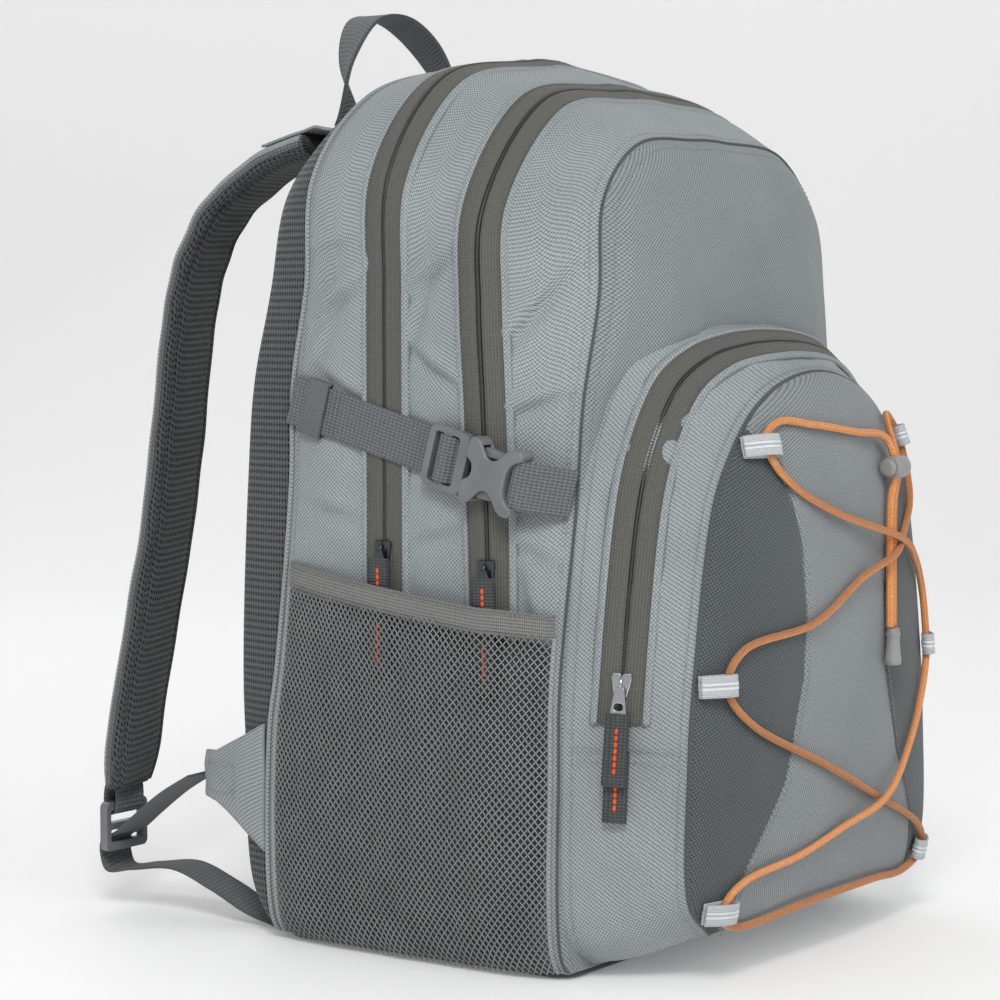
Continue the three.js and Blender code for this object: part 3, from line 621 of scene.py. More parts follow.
def tape_cloth(name, light, dark, pitch=0.0016, rib=0.0009, turned=False, strength=0.5):
    """Ribbed narrow cloth: a fine herringbone of ribs, dusty where the threads catch light."""
    material, tree, principled = shader(name, 0.8, Sheen_Weight=0.1, Specular_IOR_Level=0.3)
    across, up, uv = cloth_axes(tree)
    if turned:
        across, up = up, across
    lines = wave(tree, across, rib)
    picks = wave(tree, up, pitch)
    level = maths(tree, "ADD", maths(tree, "MULTIPLY_ADD", lines, 0.25, 0.2),
                  maths(tree, "ADD", maths(tree, "MULTIPLY", picks, 0.2),
                        maths(tree, "MULTIPLY", speckle(tree, 700, 1, uv), 0.6)))
    tree.links.new(mixed(tree, level, linear(*dark), linear(*light)),
                   principled.inputs["Base Color"])
    bump(tree, principled, maths(tree, "ADD", lines, picks), strength, 0.0003)
    return material


zip_cloth = tape_cloth("zip_tape", (112, 112, 107), (76, 77, 72), turned=True)
coil_plastic = plain("zip_coil", (52, 53, 52), 0.45)
tape_thread = plain("tape_thread", (118, 119, 116), 0.7)


def zip_arch(name, seams, v0, t0):
    """One zip along seam v0 from t0 up, over the crown and down: tapes, coil and stitch rows."""
    t = np.linspace(t0, 1, 130)

    def strand(d, lift):
        v = beside(seams, t, v0, np.full(t.shape, float(d)))
        p, _, _, out = skin_frame(seams, t, v)
        middle = skin_frame(seams, t, np.full(t.shape, float(v0)))[3]
        up = out + middle
        up /= np.linalg.norm(up, axis=1, keepdims=True)
        p = p + up * lift
        p[:, 0] = np.minimum(p[:, 0], -0.4)
        return p, up

    pieces = []
    for sign in (-1, 1):
        section = ((0.9, 0.9), (1.2, 2.9), (3, 3.2), (8, 2.8), (12, 2.4), (12.8, 1.3), (12.4, 0.9),
                   (7, 0.9))
        lines = [both_halves(strand(sign * d, lift)[0]) for d, lift in section]
        pieces.append(loft(name, np.stack(lines, 1), zip_cloth))
    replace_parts(join(name + "_halves", pieces), name)
    coil_line = both_halves(strand(0, 2.0)[0])
    coil_path = resampled(coil_line, 0.8)
    beat = np.where(np.arange(len(coil_path)) % 2 == 0, 1.25, 0.8)[:, None, None]
    loft(name + "_coil", sweep(coil_path, circle(1, 6) * beat), coil_plastic)
    marks = []
    for d, lift in ((-10.4, 2.75), (10.4, 2.75), (-3.4, 3.3), (3.4, 3.3)):
        p, up = strand(d, lift)
        marks.append((both_halves(p), both_halves(up)))
    stitches(name + "_stitching", *zip(*marks), tape_thread, 2.4, 1.7, 0.22, 0)
    # the turned-back edges of the cloth on both sides of the tapes
    for sign in (-1, 1):
        lines = [both_halves(strand(sign * d, lift)[0]) for d, lift in (
            (11.3, 2.5), (11.6, 3.3), (12.6, 3.5), (14.4, 2.9), (15.8, 1.2), (13.6, 0.7))]
        loft(name + ("_edge_a" if sign < 0 else "_edge_b"), np.stack(lines, 1), body_cloth)
    hems = [(both_halves(strand(s * 13.3, 3.35)[0]), both_halves(strand(s * 13.3, 3.35)[1]))
            for s in (-1, 1)]
    stitches(name + "_hem_stitching", *zip(*hems), thread_grey, 3.0, 2.1, 0.26, 0)


zip_arch("rear_zip_tape", BODY, 2, 7 / 21)
zip_arch("middle_zip_tape", BODY, 1, 7 / 21)
zip_arch("pocket_zip_tape", GUSSET, 0.45, 6 / 21)

# ==== Front pocket ===========================================================================
# A cloth gusset stands out from the front panel and holds a domed face: a light hourglass of
# cloth between two dark inserts, with a piped seam all round. A cross seam closes the gusset
# just under the end of its zip.
FACE_Y, FACE_CROWN, FACE_MIDDLE, FACE_REACH = -139.4, 19, 165, 145


def half_width(z):
    """Half the width of the face at height z."""
    line = curve(POCKET_EDGE, np.linspace(0, 1, 400))
    return np.interp(z, line[:, 2], line[:, 0])


def face_y(x, z):
    """Depth of the domed face: the crown fades as |x/w|^3 to the sides and as the sixth power of
    the height from the middle to the ends."""
    x, z = np.asarray(x, float), np.asarray(z, float)
    across = np.clip(1 - np.abs(x / half_width(z)) ** 3, 0, 1)
    up = np.clip(1 - (np.abs(z - FACE_MIDDLE) / FACE_REACH) ** 6, 0, 1)
    return FACE_Y - 1.6 - FACE_CROWN * across * up


gusset = []
for v in np.r_[-0.02, 0, 0.03, np.linspace(0.07, 0.93, 24), 0.97, 1]:
    base = skin(GUSSET, HALF, np.full(SAMPLES, max(v, 0.0)))
    crease = (noise(base, 45, 21) * 1.1 + noise(base, 17, 22) * 0.5) \
        * np.sin(np.pi * max(v, 0)) ** 0.8
    height = base[:, 2]
    cross_dip = -1.1 * np.exp(-((height - 117) / 2.2) ** 2) * np.sin(np.pi * max(v, 0)) ** 0.3
    lift = swell(v, 1.6) + crease + cross_dip
    ring = skin_frame(GUSSET, HALF, np.full(SAMPLES, max(v, 0.0)))
    p = ring[0] + ring[3] * lift[:, None] - (0, min(v, 0) * 100, 0)
    p[:, 2] = np.maximum(p[:, 2], BASE_TOP)
    p[:, 0] = np.minimum(p[:, 0], -0.5)
    gusset.append(both_halves(p))
gusset_piece = loft("pocket_gusset_shell", gusset, body_cloth)
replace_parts(gusset_piece, "pocket_gusset")

# the face is filled ring by ring from its edge to a spine up its middle
EDGE = curve(POCKET_EDGE, np.linspace(0, 1, 220)) * (-1, 1, 1)
EDGE[:, 0] = np.minimum(EDGE[:, 0], -0.5)
SPINE_LOW, SPINE_HIGH = 42.0, 290.0


def insert_edge(z):
    """Half the width of the light middle at height z: narrowest a little below the top."""
    return np.interp(z, (20, 60, 100, 150, 185, 215, 250, 290, 310),
                     (104, 88, 60, 44, 42, 46, 58, 82, 96))


face_rings = [both_halves(EDGE * (1, 1, 1) + (0, 1.0, 0)), both_halves(EDGE - (0, 0.2, 0))]
for share in np.r_[0.006, 0.015, np.linspace(0.03, 0.985, 60)]:
    spine = np.stack([EDGE[:, 0] * 0 - 0.02, EDGE[:, 1],
                      np.interp(EDGE[:, 2], (26, 305), (SPINE_LOW, SPINE_HIGH))], -1)
    p = EDGE + (spine - EDGE) * share
    p[:, 1] = face_y(p[:, 0], p[:, 2]) + 1.2 * np.exp(-share / 0.01)
    boundary = np.abs(p[:, 0]) - insert_edge(p[:, 2])
    p[:, 1] += 0.9 * np.exp(-(boundary / 1.1) ** 2) - 0.5 * np.exp(-((boundary + 3) / 2) ** 2)
    p[:, 1] += noise(p * (1, 0, 1), 55, 31) * 0.6 * min(1, share * 8)
    face_rings.append(both_halves(p))
face_points = np.concatenate(face_rings)
face_uv = face_points[:, [0, 2]].reshape(len(face_rings), -1, 2)
face_cloth = woven("face_oxford", (160, 166, 168), (98, 105, 108), turn=0.3,
                   inserts=((104, 110, 112), (52, 57, 60)))
face = loft("pocket_face_shell", face_rings, face_cloth, face_uv,
            values={"insert": np.abs(face_points[:, 0]) - insert_edge(face_points[:, 2])})
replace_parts(face, "pocket_face")
rod("pocket_piping", resampled(both_halves(EDGE - (0, 0.5, 0)), 3), 1.2, dark_cloth)
edge_t = np.linspace(20, 305, 90)
rows = []
for inward in (2.2, -3.4):
    x = insert_edge(edge_t) + inward
    keep = x < half_width(edge_t) - 6
    z = edge_t[keep]
    for side in (-1, 1):
        rows.append(np.stack([side * x[keep], face_y(x[keep], z) - 0.2, z], -1))
stitches("face_stitching", rows, [np.array((0, -1.0, 0))] * len(rows), thread_grey)
gusset_rows = [seam_line(GUSSET, v, lift) for v, lift in ((0.07, 1.3), (0.93, 1.3))]
cross_v = np.linspace(0.1, 0.9, 40)
for rise in (-3.2, 3.2):
    t = at_height(GUSSET, cross_v, 117 + rise)
    p, _, _, out = skin_frame(GUSSET, t, cross_v)
    p = p + out * 2.2
    gusset_rows += [(p, out), (p * (-1, 1, 1), out * (-1, 1, 1))]
stitches("gusset_stitching", *zip(*gusset_rows), thread_grey)

# ==== Base ===================================================================================
# A flat panel of dark cloth on which the pack stands, piped round its edge.
base_outline = []
for corner_x, corner_y, start in ((126, 94, 0), (-126, 94, 90), (-126, -64, 180), (126, -64, 270)):
    for angle in np.radians(np.linspace(start, start + 90, 14)):
        base_outline.append((corner_x + 12 * np.cos(angle), corner_y + 12 * np.sin(angle)))
base_outline = np.array(base_outline)
base_outline = np.roll(base_outline, -7, axis=0)
base_rings = [np.c_[(base_outline - (0, 15)) * k + (0, 15), np.full(len(base_outline), z)]
              for k, z in ((0.99, 0.0), (1.0, 0.6), (1.0, 2.6), (0.995, 3.2))]
base = loft("base_sheet", base_rings, dark_cloth)
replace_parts(base, "base_panel")
ring_path = np.vstack([base_rings[1], base_rings[1][:1]]) + (0, 0, 1.2)
rod("base_piping", ring_path, 1.4, dark_cloth)

# ==== Back panel =============================================================================
# Spacer mesh over foam: two cushions meet at a crease across the back, holes run in offset rows.
def spacer(name, light, dark, pitch=0.0042):
    """Warp-knitted spacer mesh: offset rows of round holes through a springy face."""
    material, tree, principled = shader(name, 0.9, Sheen_Weight=0.2, Specular_IOR_Level=0.25)
    across, up, _ = cloth_axes(tree)
    a = wave(tree, maths(tree, "ADD", across, maths(tree, "MULTIPLY", up, 0.577)), pitch)
    b = wave(tree, maths(tree, "SUBTRACT", across, maths(tree, "MULTIPLY", up, 0.577)), pitch)
    hole = ramp(tree, maths(tree, "MULTIPLY", a, b), 0.05, 0.65)
    fibre = speckle(tree, 1600, 2)
    level = maths(tree, "SUBTRACT", maths(tree, "MULTIPLY_ADD", fibre, 0.5, 0.5), hole)
    tree.links.new(mixed(tree, level, linear(*dark), linear(*light)),
                   principled.inputs["Base Color"])
    bump(tree, principled, maths(tree, "SUBTRACT", maths(tree, "MULTIPLY", fibre, 0.25), hole),
         0.9, 0.0012)
    return material


spacer_mesh = spacer("spacer_mesh", (96, 98, 100), (22, 23, 24))
back_seam = curve(BACK_SEAM, HALF) * (-1, 1, 1) + (0, 2.4, 0)
back_corner = curve(BACK_CORNER, HALF) * (-1, 1, 1)
back_crest = curve(BACK_CREST, HALF) * (-1, 1, 1)
for line in (back_seam, back_corner, back_crest):
    line[:, 2] = np.maximum(line[:, 2], BASE_TOP)
    line[:, 0] = np.minimum(line[:, 0], -0.5)
panel = [back_seam * (0.97, 1, 0.99), back_seam]
for share in np.linspace(0.08, 1, 12):
    p = (1 - share) * back_seam + share * back_corner
    way = (p - (0, 90, 230)) / np.linalg.norm(p - (0, 90, 230), axis=1, keepdims=True)
    panel.append(p + way * (1.2 * np.sin(np.pi * share) ** 0.7))
for share in np.linspace(0.08, 1, 12):
    p = (1 - share) * back_corner + share * back_crest
    panel.append(p + (0, 1.2 * np.sin(np.pi * share) ** 0.7, 0))
for share in np.linspace(0.03, 0.99, 26):
    spine = np.stack([back_crest[:, 0] * 0, back_crest[:, 1],
                      np.interp(back_crest[:, 2], (14, 438), (90, 360))], -1)
    p = back_crest + (spine - back_crest) * share
    channel = 6.5 * np.exp(-((np.abs(p[:, 0]) - 40) / 8) ** 2)
    crease = 7.0 * (np.exp(-((p[:, 2] - 172) / 7) ** 2) + 0.7 * np.exp(-((p[:, 2] - 330) / 7) ** 2))
    dome = 4.5 * np.sin(np.pi * np.clip(share, 0, 0.5))
    p[:, 1] += dome - (channel + crease) * min(1, share * 6) + noise(p, 50, 41) * 0.6
    panel.append(p)
panel = [np.stack([np.minimum(p[:, 0], -0.02), p[:, 1], p[:, 2]], -1) for p in panel]
back_uv = [both_halves(p)[:, [0, 2]] if k > 13 else both_halves(
    np.stack([p[:, 0], p[:, 2], p[:, 1]], -1))[:, [2, 1]] for k, p in enumerate(panel)]
back = loft("back_cushion", [both_halves(p) for p in panel], spacer_mesh, np.array(back_uv))
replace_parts(back, "back_panel")

# ==== Side net pockets =======================================================================
# A stretch net of diamond cells hangs over each side from a ribbed elastic band, sewn in at the
# seams; behind it a dark cloth sheet is painted shade, standing in for the shadow inside the pocket.
CELL_WIDE, CELL_HIGH, STRAND = 3.6, 4.6, 0.42
NET_LOW, NET_HIGH = 0.12, 2.94


def mouth_height(y):
    """Height of the pocket's mouth, rising from front to back."""
    return np.interp(y, (-72, 107), (174, 195))


def net_point(q, share, more=0.0):
    """The bellied net: q runs from its front seam to its back seam, share up to its mouth."""
    v = NET_LOW + (NET_HIGH - NET_LOW) * q
    y = skin(BODY, np.full(np.shape(q), 0.3), v)[..., 1]
    z = 5 + (mouth_height(y) - 5) * share
    t = at_height(BODY, v, z)
    p, _, _, out = skin_frame(BODY, t, v)
    arch = np.sin(np.pi * np.clip(q, 0, 1))
    lift = 0.4 + 12 * arch ** 0.6 * np.sin(np.minimum(2.2 * share, 1) * np.pi / 2)
    return p + out * (np.maximum(lift, 4.8 * arch ** 0.4) + more)[..., None]


run_q = np.linspace(0, 1, 120)
net_run = np.r_[0, np.cumsum(np.linalg.norm(np.diff(
    net_point(run_q, np.full(120, 0.6)), axis=0), axis=1))]
COLUMNS = int(net_run[-1] / CELL_WIDE)
even_q = np.interp(np.linspace(0, net_run[-1], 2 * COLUMNS + 1), net_run, run_q)
ROWS = int(183 / (CELL_HIGH / 2))
grid_q, grid_s = np.meshgrid(even_q, np.linspace(0, 1, ROWS + 1))
NET = net_point(grid_q, grid_s, 0.6)
NET[..., 0] -= np.sin(np.pi * grid_q) ** 0.5 * (
    0.9 + 0.9 * noise(NET, 45, 5) + 0.5 * noise(NET * (1, 1, 0.3), 16, 6))


def net_mesh(name, sign):
    """The net: zig-zag strands cross from node to node of the grid, each a three-sided rod."""
    i, j = np.meshgrid(np.arange(ROWS), np.arange(2 * COLUMNS), indexing="ij")
    rising = (i + j) % 2 == 0
    start = np.where(rising[..., None], NET[i, j], NET[i, j + 1]).reshape(-1, 3)
    end = np.where(rising[..., None], NET[i + 1, j + 1], NET[i + 1, j]).reshape(-1, 3)
    ahead = end - start
    ahead /= np.linalg.norm(ahead, axis=1, keepdims=True)
    out = np.cross(ahead, np.cross((-1.0, 0, 0), ahead))
    out /= np.linalg.norm(out, axis=1, keepdims=True)
    side = np.cross(ahead, out)
    ring = [(0, 0.75), (0.9, -0.5), (-0.9, -0.5)]
    points = np.stack([base + side * STRAND * a + out * STRAND * b
                       for base in (start - ahead * 0.2, end + ahead * 0.2) for a, b in ring], 1)
    first = np.arange(len(start))[:, None] * 6
    quads = np.concatenate([first + (0, 1, 4, 3), first + (1, 2, 5, 4), first + (2, 0, 3, 5)])
    ends = np.concatenate([first + (2, 1, 0), first + (3, 4, 5)])
    faces = quads.tolist() + ends.tolist()
    if sign < 0:
        return add_mesh(name, points.reshape(-1, 3), faces, net_yarn)
    return add_mesh(name, points.reshape(-1, 3) * (-1, 1, 1), [f[::-1] for f in faces], net_yarn)


net_yarn = plain("net_yarn", (150, 154, 153), 0.45, Sheen_Weight=0.2)
# dark cloth for the sheet behind each net: painted shade for the shadowed inside of the pocket
net_shade_cloth = woven("net_shade_cloth", (84, 89, 90), (46, 50, 51))
elastic_cloth = tape_cloth("elastic_band", (158, 158, 157), (98, 98, 97), 0.0011, 0.0017,
                           strength=0.8)


def mirrored(points, sign):
    """Points of the left side, or their mirror image for the right."""
    return np.asarray(points) * (-sign, 1, 1) if sign > 0 else np.asarray(points)


for label, sign in (("left", -1), ("right", 1)):
    net = net_mesh(f"net_{label}", sign)
    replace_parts(net, f"net_pocket_{label}")
    # painted shade: a dark cloth sheet close against the compartments, standing in for the shadow inside
    # the pocket
    q = np.linspace(0.01, 0.99, 60)
    lines = []
    for share in np.linspace(0.004, 0.97, 60):
        v = NET_LOW + (NET_HIGH - NET_LOW) * q
        y = skin(BODY, np.full(60, 0.3), v)[:, 1]
        t = at_height(BODY, v, 5 + (mouth_height(y) - 5) * share)
        p, _, _, out = skin_frame(BODY, t, v)
        hold = 3.5 * np.sin(np.pi * q) ** 0.3
        lines.append(np.concatenate([p + out * (hold + 0.5)[:, None],
                                     (p + out * (hold - 0.5)[:, None])[::-1]]))
    loft(f"net_shade_sheet_{label}", mirrored(lines, sign), net_shade_cloth)
    # band: a ribbed tape folded over the mouth, and a gathered hem at the foot
    q = np.linspace(0, 1, 110)
    band_rings = []
    for rise, more in ((-3.6, 0.3), (-3.4, 1.5), (0, 2.1), (5, 2.2), (9, 1.9), (9.8, 0.9),
                       (9.2, -0.2), (3, -0.3)):
        p = net_point(q, np.ones(110), more * np.sin(np.pi * q) ** 0.2 + 0 * q)
        band_rings.append(p + (0, 0, rise + 1.0))
    band_piece = loft(f"elastic_{label}", mirrored(np.stack(band_rings, 1), sign), elastic_cloth)
    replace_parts(band_piece, f"pocket_elastic_{label}")
    rows = []
    for rise in (-1.9, 8.2):
        p = net_point(q, np.ones(110), 2.3 + 0 * q) + (0, 0, rise + 1.0)
        rows.append(mirrored(p, sign))
    stitches(f"elastic_stitching_{label}", rows, [np.array((sign * 1.0, 0, 0))] * 2,
             tape_thread, 2.6, 1.8, 0.25, 0)
    for part, q0 in (("front", 0.0), ("back", 1.0)):
        edge_line = net_point(np.full(60, q0), np.linspace(0, 1, 60), np.full(60, 0.6))
        rod(f"net_binding_{part}_{label}", mirrored(edge_line, sign), 1.3, body_cloth)

# ==== Webbing and side buckles ===============================================================
# Compression straps of 25 mm webbing cross each side to a side-release buckle: its two prongs
# press in through the socket's windows. Each is moulded in satin grey plastic.
webbing_cloth = tape_cloth("webbing", (128, 132, 135), (86, 89, 92), 0.0026, 0.0017, strength=0.9)
keeper_cloth = tape_cloth("keeper", (120, 124, 127), (88, 91, 94), 0.0013, 0.001)
grey_plastic = plain("grey_plastic", (120, 123, 127), 0.3, grain=0.05)
tilt = np.arctan2(45, 168)


def buckle_place(sign):
    """A function from the buckle's own lengths (a along, b across, c out) to the pack's."""
    origin = np.array((sign * 158.5, -30, 258.8))
    along = np.array((0, -np.cos(tilt), -np.sin(tilt)))
    out = np.array((sign * 1.0, 0, 0))
    across = np.cross(out, along)
    return lambda a, b, c: (origin + np.asarray(a, float)[..., None] * along
                            + np.asarray(b, float)[..., None] * across
                            + np.asarray(c, float)[..., None] * out)


def ribbon(name, path, half_wide, thick, material, across, body="pack", edge=0.35):
    """A flat strap along a path: a rectangle with eased corners and thick woven edges."""
    w, h = half_wide, thick / 2
    section = [(-w, -h + edge), (-w + edge, -h), (-w + 2.2, -h * 0.82), (0, -h * 0.8),
               (w - 2.2, -h * 0.82), (w - edge, -h), (w, -h + edge), (w, h - edge),
               (w - edge, h), (w - 2.2, h * 0.82), (0, h * 0.8), (-w + 2.2, h * 0.82),
               (-w + edge, h), (-w, h - edge)]
    return loft(name, sweep(path, np.array(section), across), material, body=body)


def carve(piece, cutters):
    """Cuts made through a piece by closed solids, which are then deleted."""
    for cutter in cutters:
        step = piece.modifiers.new("cut", "BOOLEAN")
        step.operation, step.object, step.solver = "DIFFERENCE", cutter, "EXACT"
        bpy.context.view_layer.update()
        cut = bpy.data.meshes.new_from_object(
            piece.evaluated_get(bpy.context.evaluated_depsgraph_get()))
        piece.modifiers.clear()
        piece.data = cut
        bpy.data.objects.remove(cutter)
    return piece


def eased(piece, width, segments=2):
    """Edges rounded by a bevel, then shaded smooth with flat faces kept flat."""
    step = piece.modifiers.new("bevel", "BEVEL")
    step.width, step.segments, step.limit_method = width * 0.001, segments, "ANGLE"
    step.angle_limit = np.radians(30)
    piece.data.shade_smooth()
    flat = piece.modifiers.new("weighted", "WEIGHTED_NORMAL")
    flat.keep_sharp = False
    return piece


def plate(name, outline, low, high, place, material, body="pack"):
    """A moulded plate: an (a, b) outline with a thickness from low to high in c."""
    outline = np.asarray(outline, float)
    n = len(outline)
    points = np.concatenate([place(outline[:, 0], outline[:, 1], np.full(n, c))
                             for c in (low, high)])
    faces = [tuple(range(n))[::-1], tuple(range(n, 2 * n))]
    faces += [(k, (k + 1) % n, n + (k + 1) % n, n + k) for k in range(n)]
    piece = add_mesh(name, points, faces, material, smooth=False, body=body)
    tidy = bmesh.new()
    tidy.from_mesh(piece.data)
    bmesh.ops.recalc_face_normals(tidy, faces=tidy.faces)
    tidy.to_mesh(piece.data)
    tidy.free()
    return piece


def rounded(a0, a1, b0, b1, radius, n=6):
    """A rectangle's outline with round corners."""
    points = []
    for ca, cb, start in ((a1 - radius, b1 - radius, 0), (a0 + radius, b1 - radius, 90),
                          (a0 + radius, b0 + radius, 180), (a1 - radius, b0 + radius, 270)):
        for angle in np.radians(np.linspace(start, start + 90, n)):
            points.append((ca + radius * np.cos(angle), cb + radius * np.sin(angle)))
    return points


for label, sign in (("left", -1), ("right", 1)):
    at = buckle_place(sign)
    across = at(0, 1, 0) - at(0, 0, 0)
    a = np.linspace(-122, -4, 90)
    lift = -5 + 0.5 * np.sin(a / 11) * np.clip((-a - 30) / 40, 0, 1)
    rear = ribbon(f"webbing_rear_{label}", at(a, 0 * a, lift), 12.5, 1.6, webbing_cloth, across)
    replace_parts(rear, f"compression_webbing_rear_{label}")
    # a stitched keeper of finer webbing folds round the strap
    outer = [(-14.8, -6.8), (-14.8, -3.4), (-14.0, -2.6), (14.0, -2.6), (14.8, -3.4),
             (14.8, -6.8), (13.4, -6.8), (13.4, -4.1), (-13.4, -4.1), (-13.4, -6.8)]
    lines = [at(np.full(10, s), [b for b, _ in outer], [c for _, c in outer])
             for s in np.linspace(-112, -99, 10)]
    keeper = loft(f"keeper_{label}", lines, keeper_cloth)
    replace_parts(keeper, f"webbing_keeper_{label}")
    front_a = np.array((27.0, 29.6, 33.2, 38, 42, 45.5, 48, 50.5))
    front_c = np.array((1.9, 2.9, 1.6, -3.6, -8.4, -13.0, -16.5, -19.8))
    s = np.linspace(0, 1, 30) * 7
    fa, fc = np.interp(s, range(8), front_a), np.interp(s, range(8), front_c)
    front_web = ribbon(f"webbing_front_{label}", at(fa, 0 * fa, fc), 12.5, 1.6, webbing_cloth,
                       across)
    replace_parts(front_web, f"compression_webbing_front_{label}")
    # plug: a barred frame, then two prongs with hooked heads
    body = f"buckle_male_{label}"
    frame_piece = plate(f"plug_{label}", rounded(-27, -1.5, -16, 16, 4.5), -2.6, 2.6, at,
                        grey_plastic, body)
    cutters = [plate(f"cut_{k}", rounded(lo, hi, -12.8, 12.8, 1.6), -9, 9, at, grey_plastic)
               for k, (lo, hi) in enumerate(((-23.0, -17.6), (-13.4, -7.6)))]
    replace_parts(eased(carve(frame_piece, cutters), 1.3, 3), f"buckle_male_{label}")
    for b_sign, part in ((1, "upper"), (-1, "lower")):
        side = b_sign if (at(0, 1, 0) - at(0, 0, 0))[2] > 0 else -b_sign
        hook = [(-1, 7.2), (6, 7.4), (13, 8.4), (19, 9.0), (20, 10.6), (17, 12.6), (10, 13.1),
                (7.6, 12.8), (8.2, 11.2), (3, 10.4), (-1, 11.4)]
        prong = plate(f"prong_{part}_{label}", [(pa, side * pb) for pa, pb in hook], -2.3, 2.3,
                      at, grey_plastic, f"buckle_prong_{part}_{label}")
        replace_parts(eased(prong, 0.7), f"buckle_prong_{part}_{label}")
    # socket: an X of two forks each way, hollow for the prongs that bow out at its waist
    half = [(0, 6.0), (-0.6, 9.5), (0.2, 15.6), (2.6, 17.3), (6, 16.4), (9, 12.6), (11.5, 9.2),
            (14, 7.9), (17, 8.4), (20, 11.0), (23.5, 15.4), (27, 17.4), (31, 17.3), (33, 15.2),
            (32.4, 12.2), (29.4, 11.0), (26.6, 8.4), (25.2, 4.4), (25.0, 0)]
    rear_half = [(4.6, 0), (3.6, 3.6)]
    outline = rear_half + half + [(a_, -b_) for a_, b_ in (rear_half[1:] + half[:-1])[::-1]]
    socket = plate(f"socket_{label}", outline, -5.8, 5.8, at, grey_plastic)
    cutters = [plate("cut_a", rounded(-3, 20, -13.6, 13.6, 1.5), -3.2, 3.2, at, grey_plastic)]
    socket = eased(carve(socket, cutters), 1.5, 3)
    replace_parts(socket, f"buckle_female_{label}")
    bar_line = at(np.full(14, 29.6), np.linspace(-13, 13, 14), np.full(14, 0.0))
    rod(f"socket_bar_{label}", bar_line, 2.1, grey_plastic, n=12)
    # the strap's own turn round the plug's middle bar
    turn_a = np.array((-25.5, -22.8, -19.8, -17.6, -15.5, -13.4, -11.2, -8.8, -9.5, -14))
    turn_c = np.array((-4.0, -2.8, 1.4, 3.4, 3.9, 3.4, 1.4, -2.4, -3.9, -4.1))
    turn_path = curve(np.c_[turn_a, turn_c, 0 * turn_a], np.linspace(0, 1, 60))
    ribbon(f"plug_webbing_{label}", at(turn_path[:, 0], 0 * turn_path[:, 0], turn_path[:, 1]),
           12.0, 1.3, webbing_cloth, across, body=body)
    marks = []
    for low_a, high_a in ((-96, -94), (-93, -91)):
        b = np.linspace(-11, 11, 12)
        marks.append(at(np.full(12, (low_a + high_a) / 2), b, np.full(12, -4.0)))
    stitches(f"webbing_bartack_{label}", marks, [np.array((sign * 1.0, 0, 0))] * 2, thread_grey,
             1.6, 1.3, 0.3, 0)

# ==== Sliders and pull tabs ==================================================================
# Die-cast sliders, dark on the main zips and bright on the upper pocket one, each with a bridge
# that holds a metal puller; a tab of folded ribbed tape, sewn in orange, hangs from it.
dark_metal = plain("dark_metal", (84, 86, 89), 0.32, 0.85)
bright_metal = plain("bright_metal", (206, 209, 213), 0.22, 1.0)
pull_tape = tape_cloth("pull_tape", (92, 94, 96), (58, 60, 62), 0.0022, 0.0016, turned=True,
                       strength=0.9)
orange_thread = plain("orange_thread", (246, 96, 34), 0.55)


def skin_place(seams, v, height):
    """A function from lengths across, up and out of the shell at one place to the pack's."""
    t = at_height(seams, np.array([float(v)]), height)
    p, across, along, out = (a[0] for a in skin_frame(seams, t, np.array([float(v)])))
    return lambda a, b, c: (p + np.asarray(a, float)[..., None] * across
                            + np.asarray(b, float)[..., None] * along
                            + np.asarray(c, float)[..., None] * out)


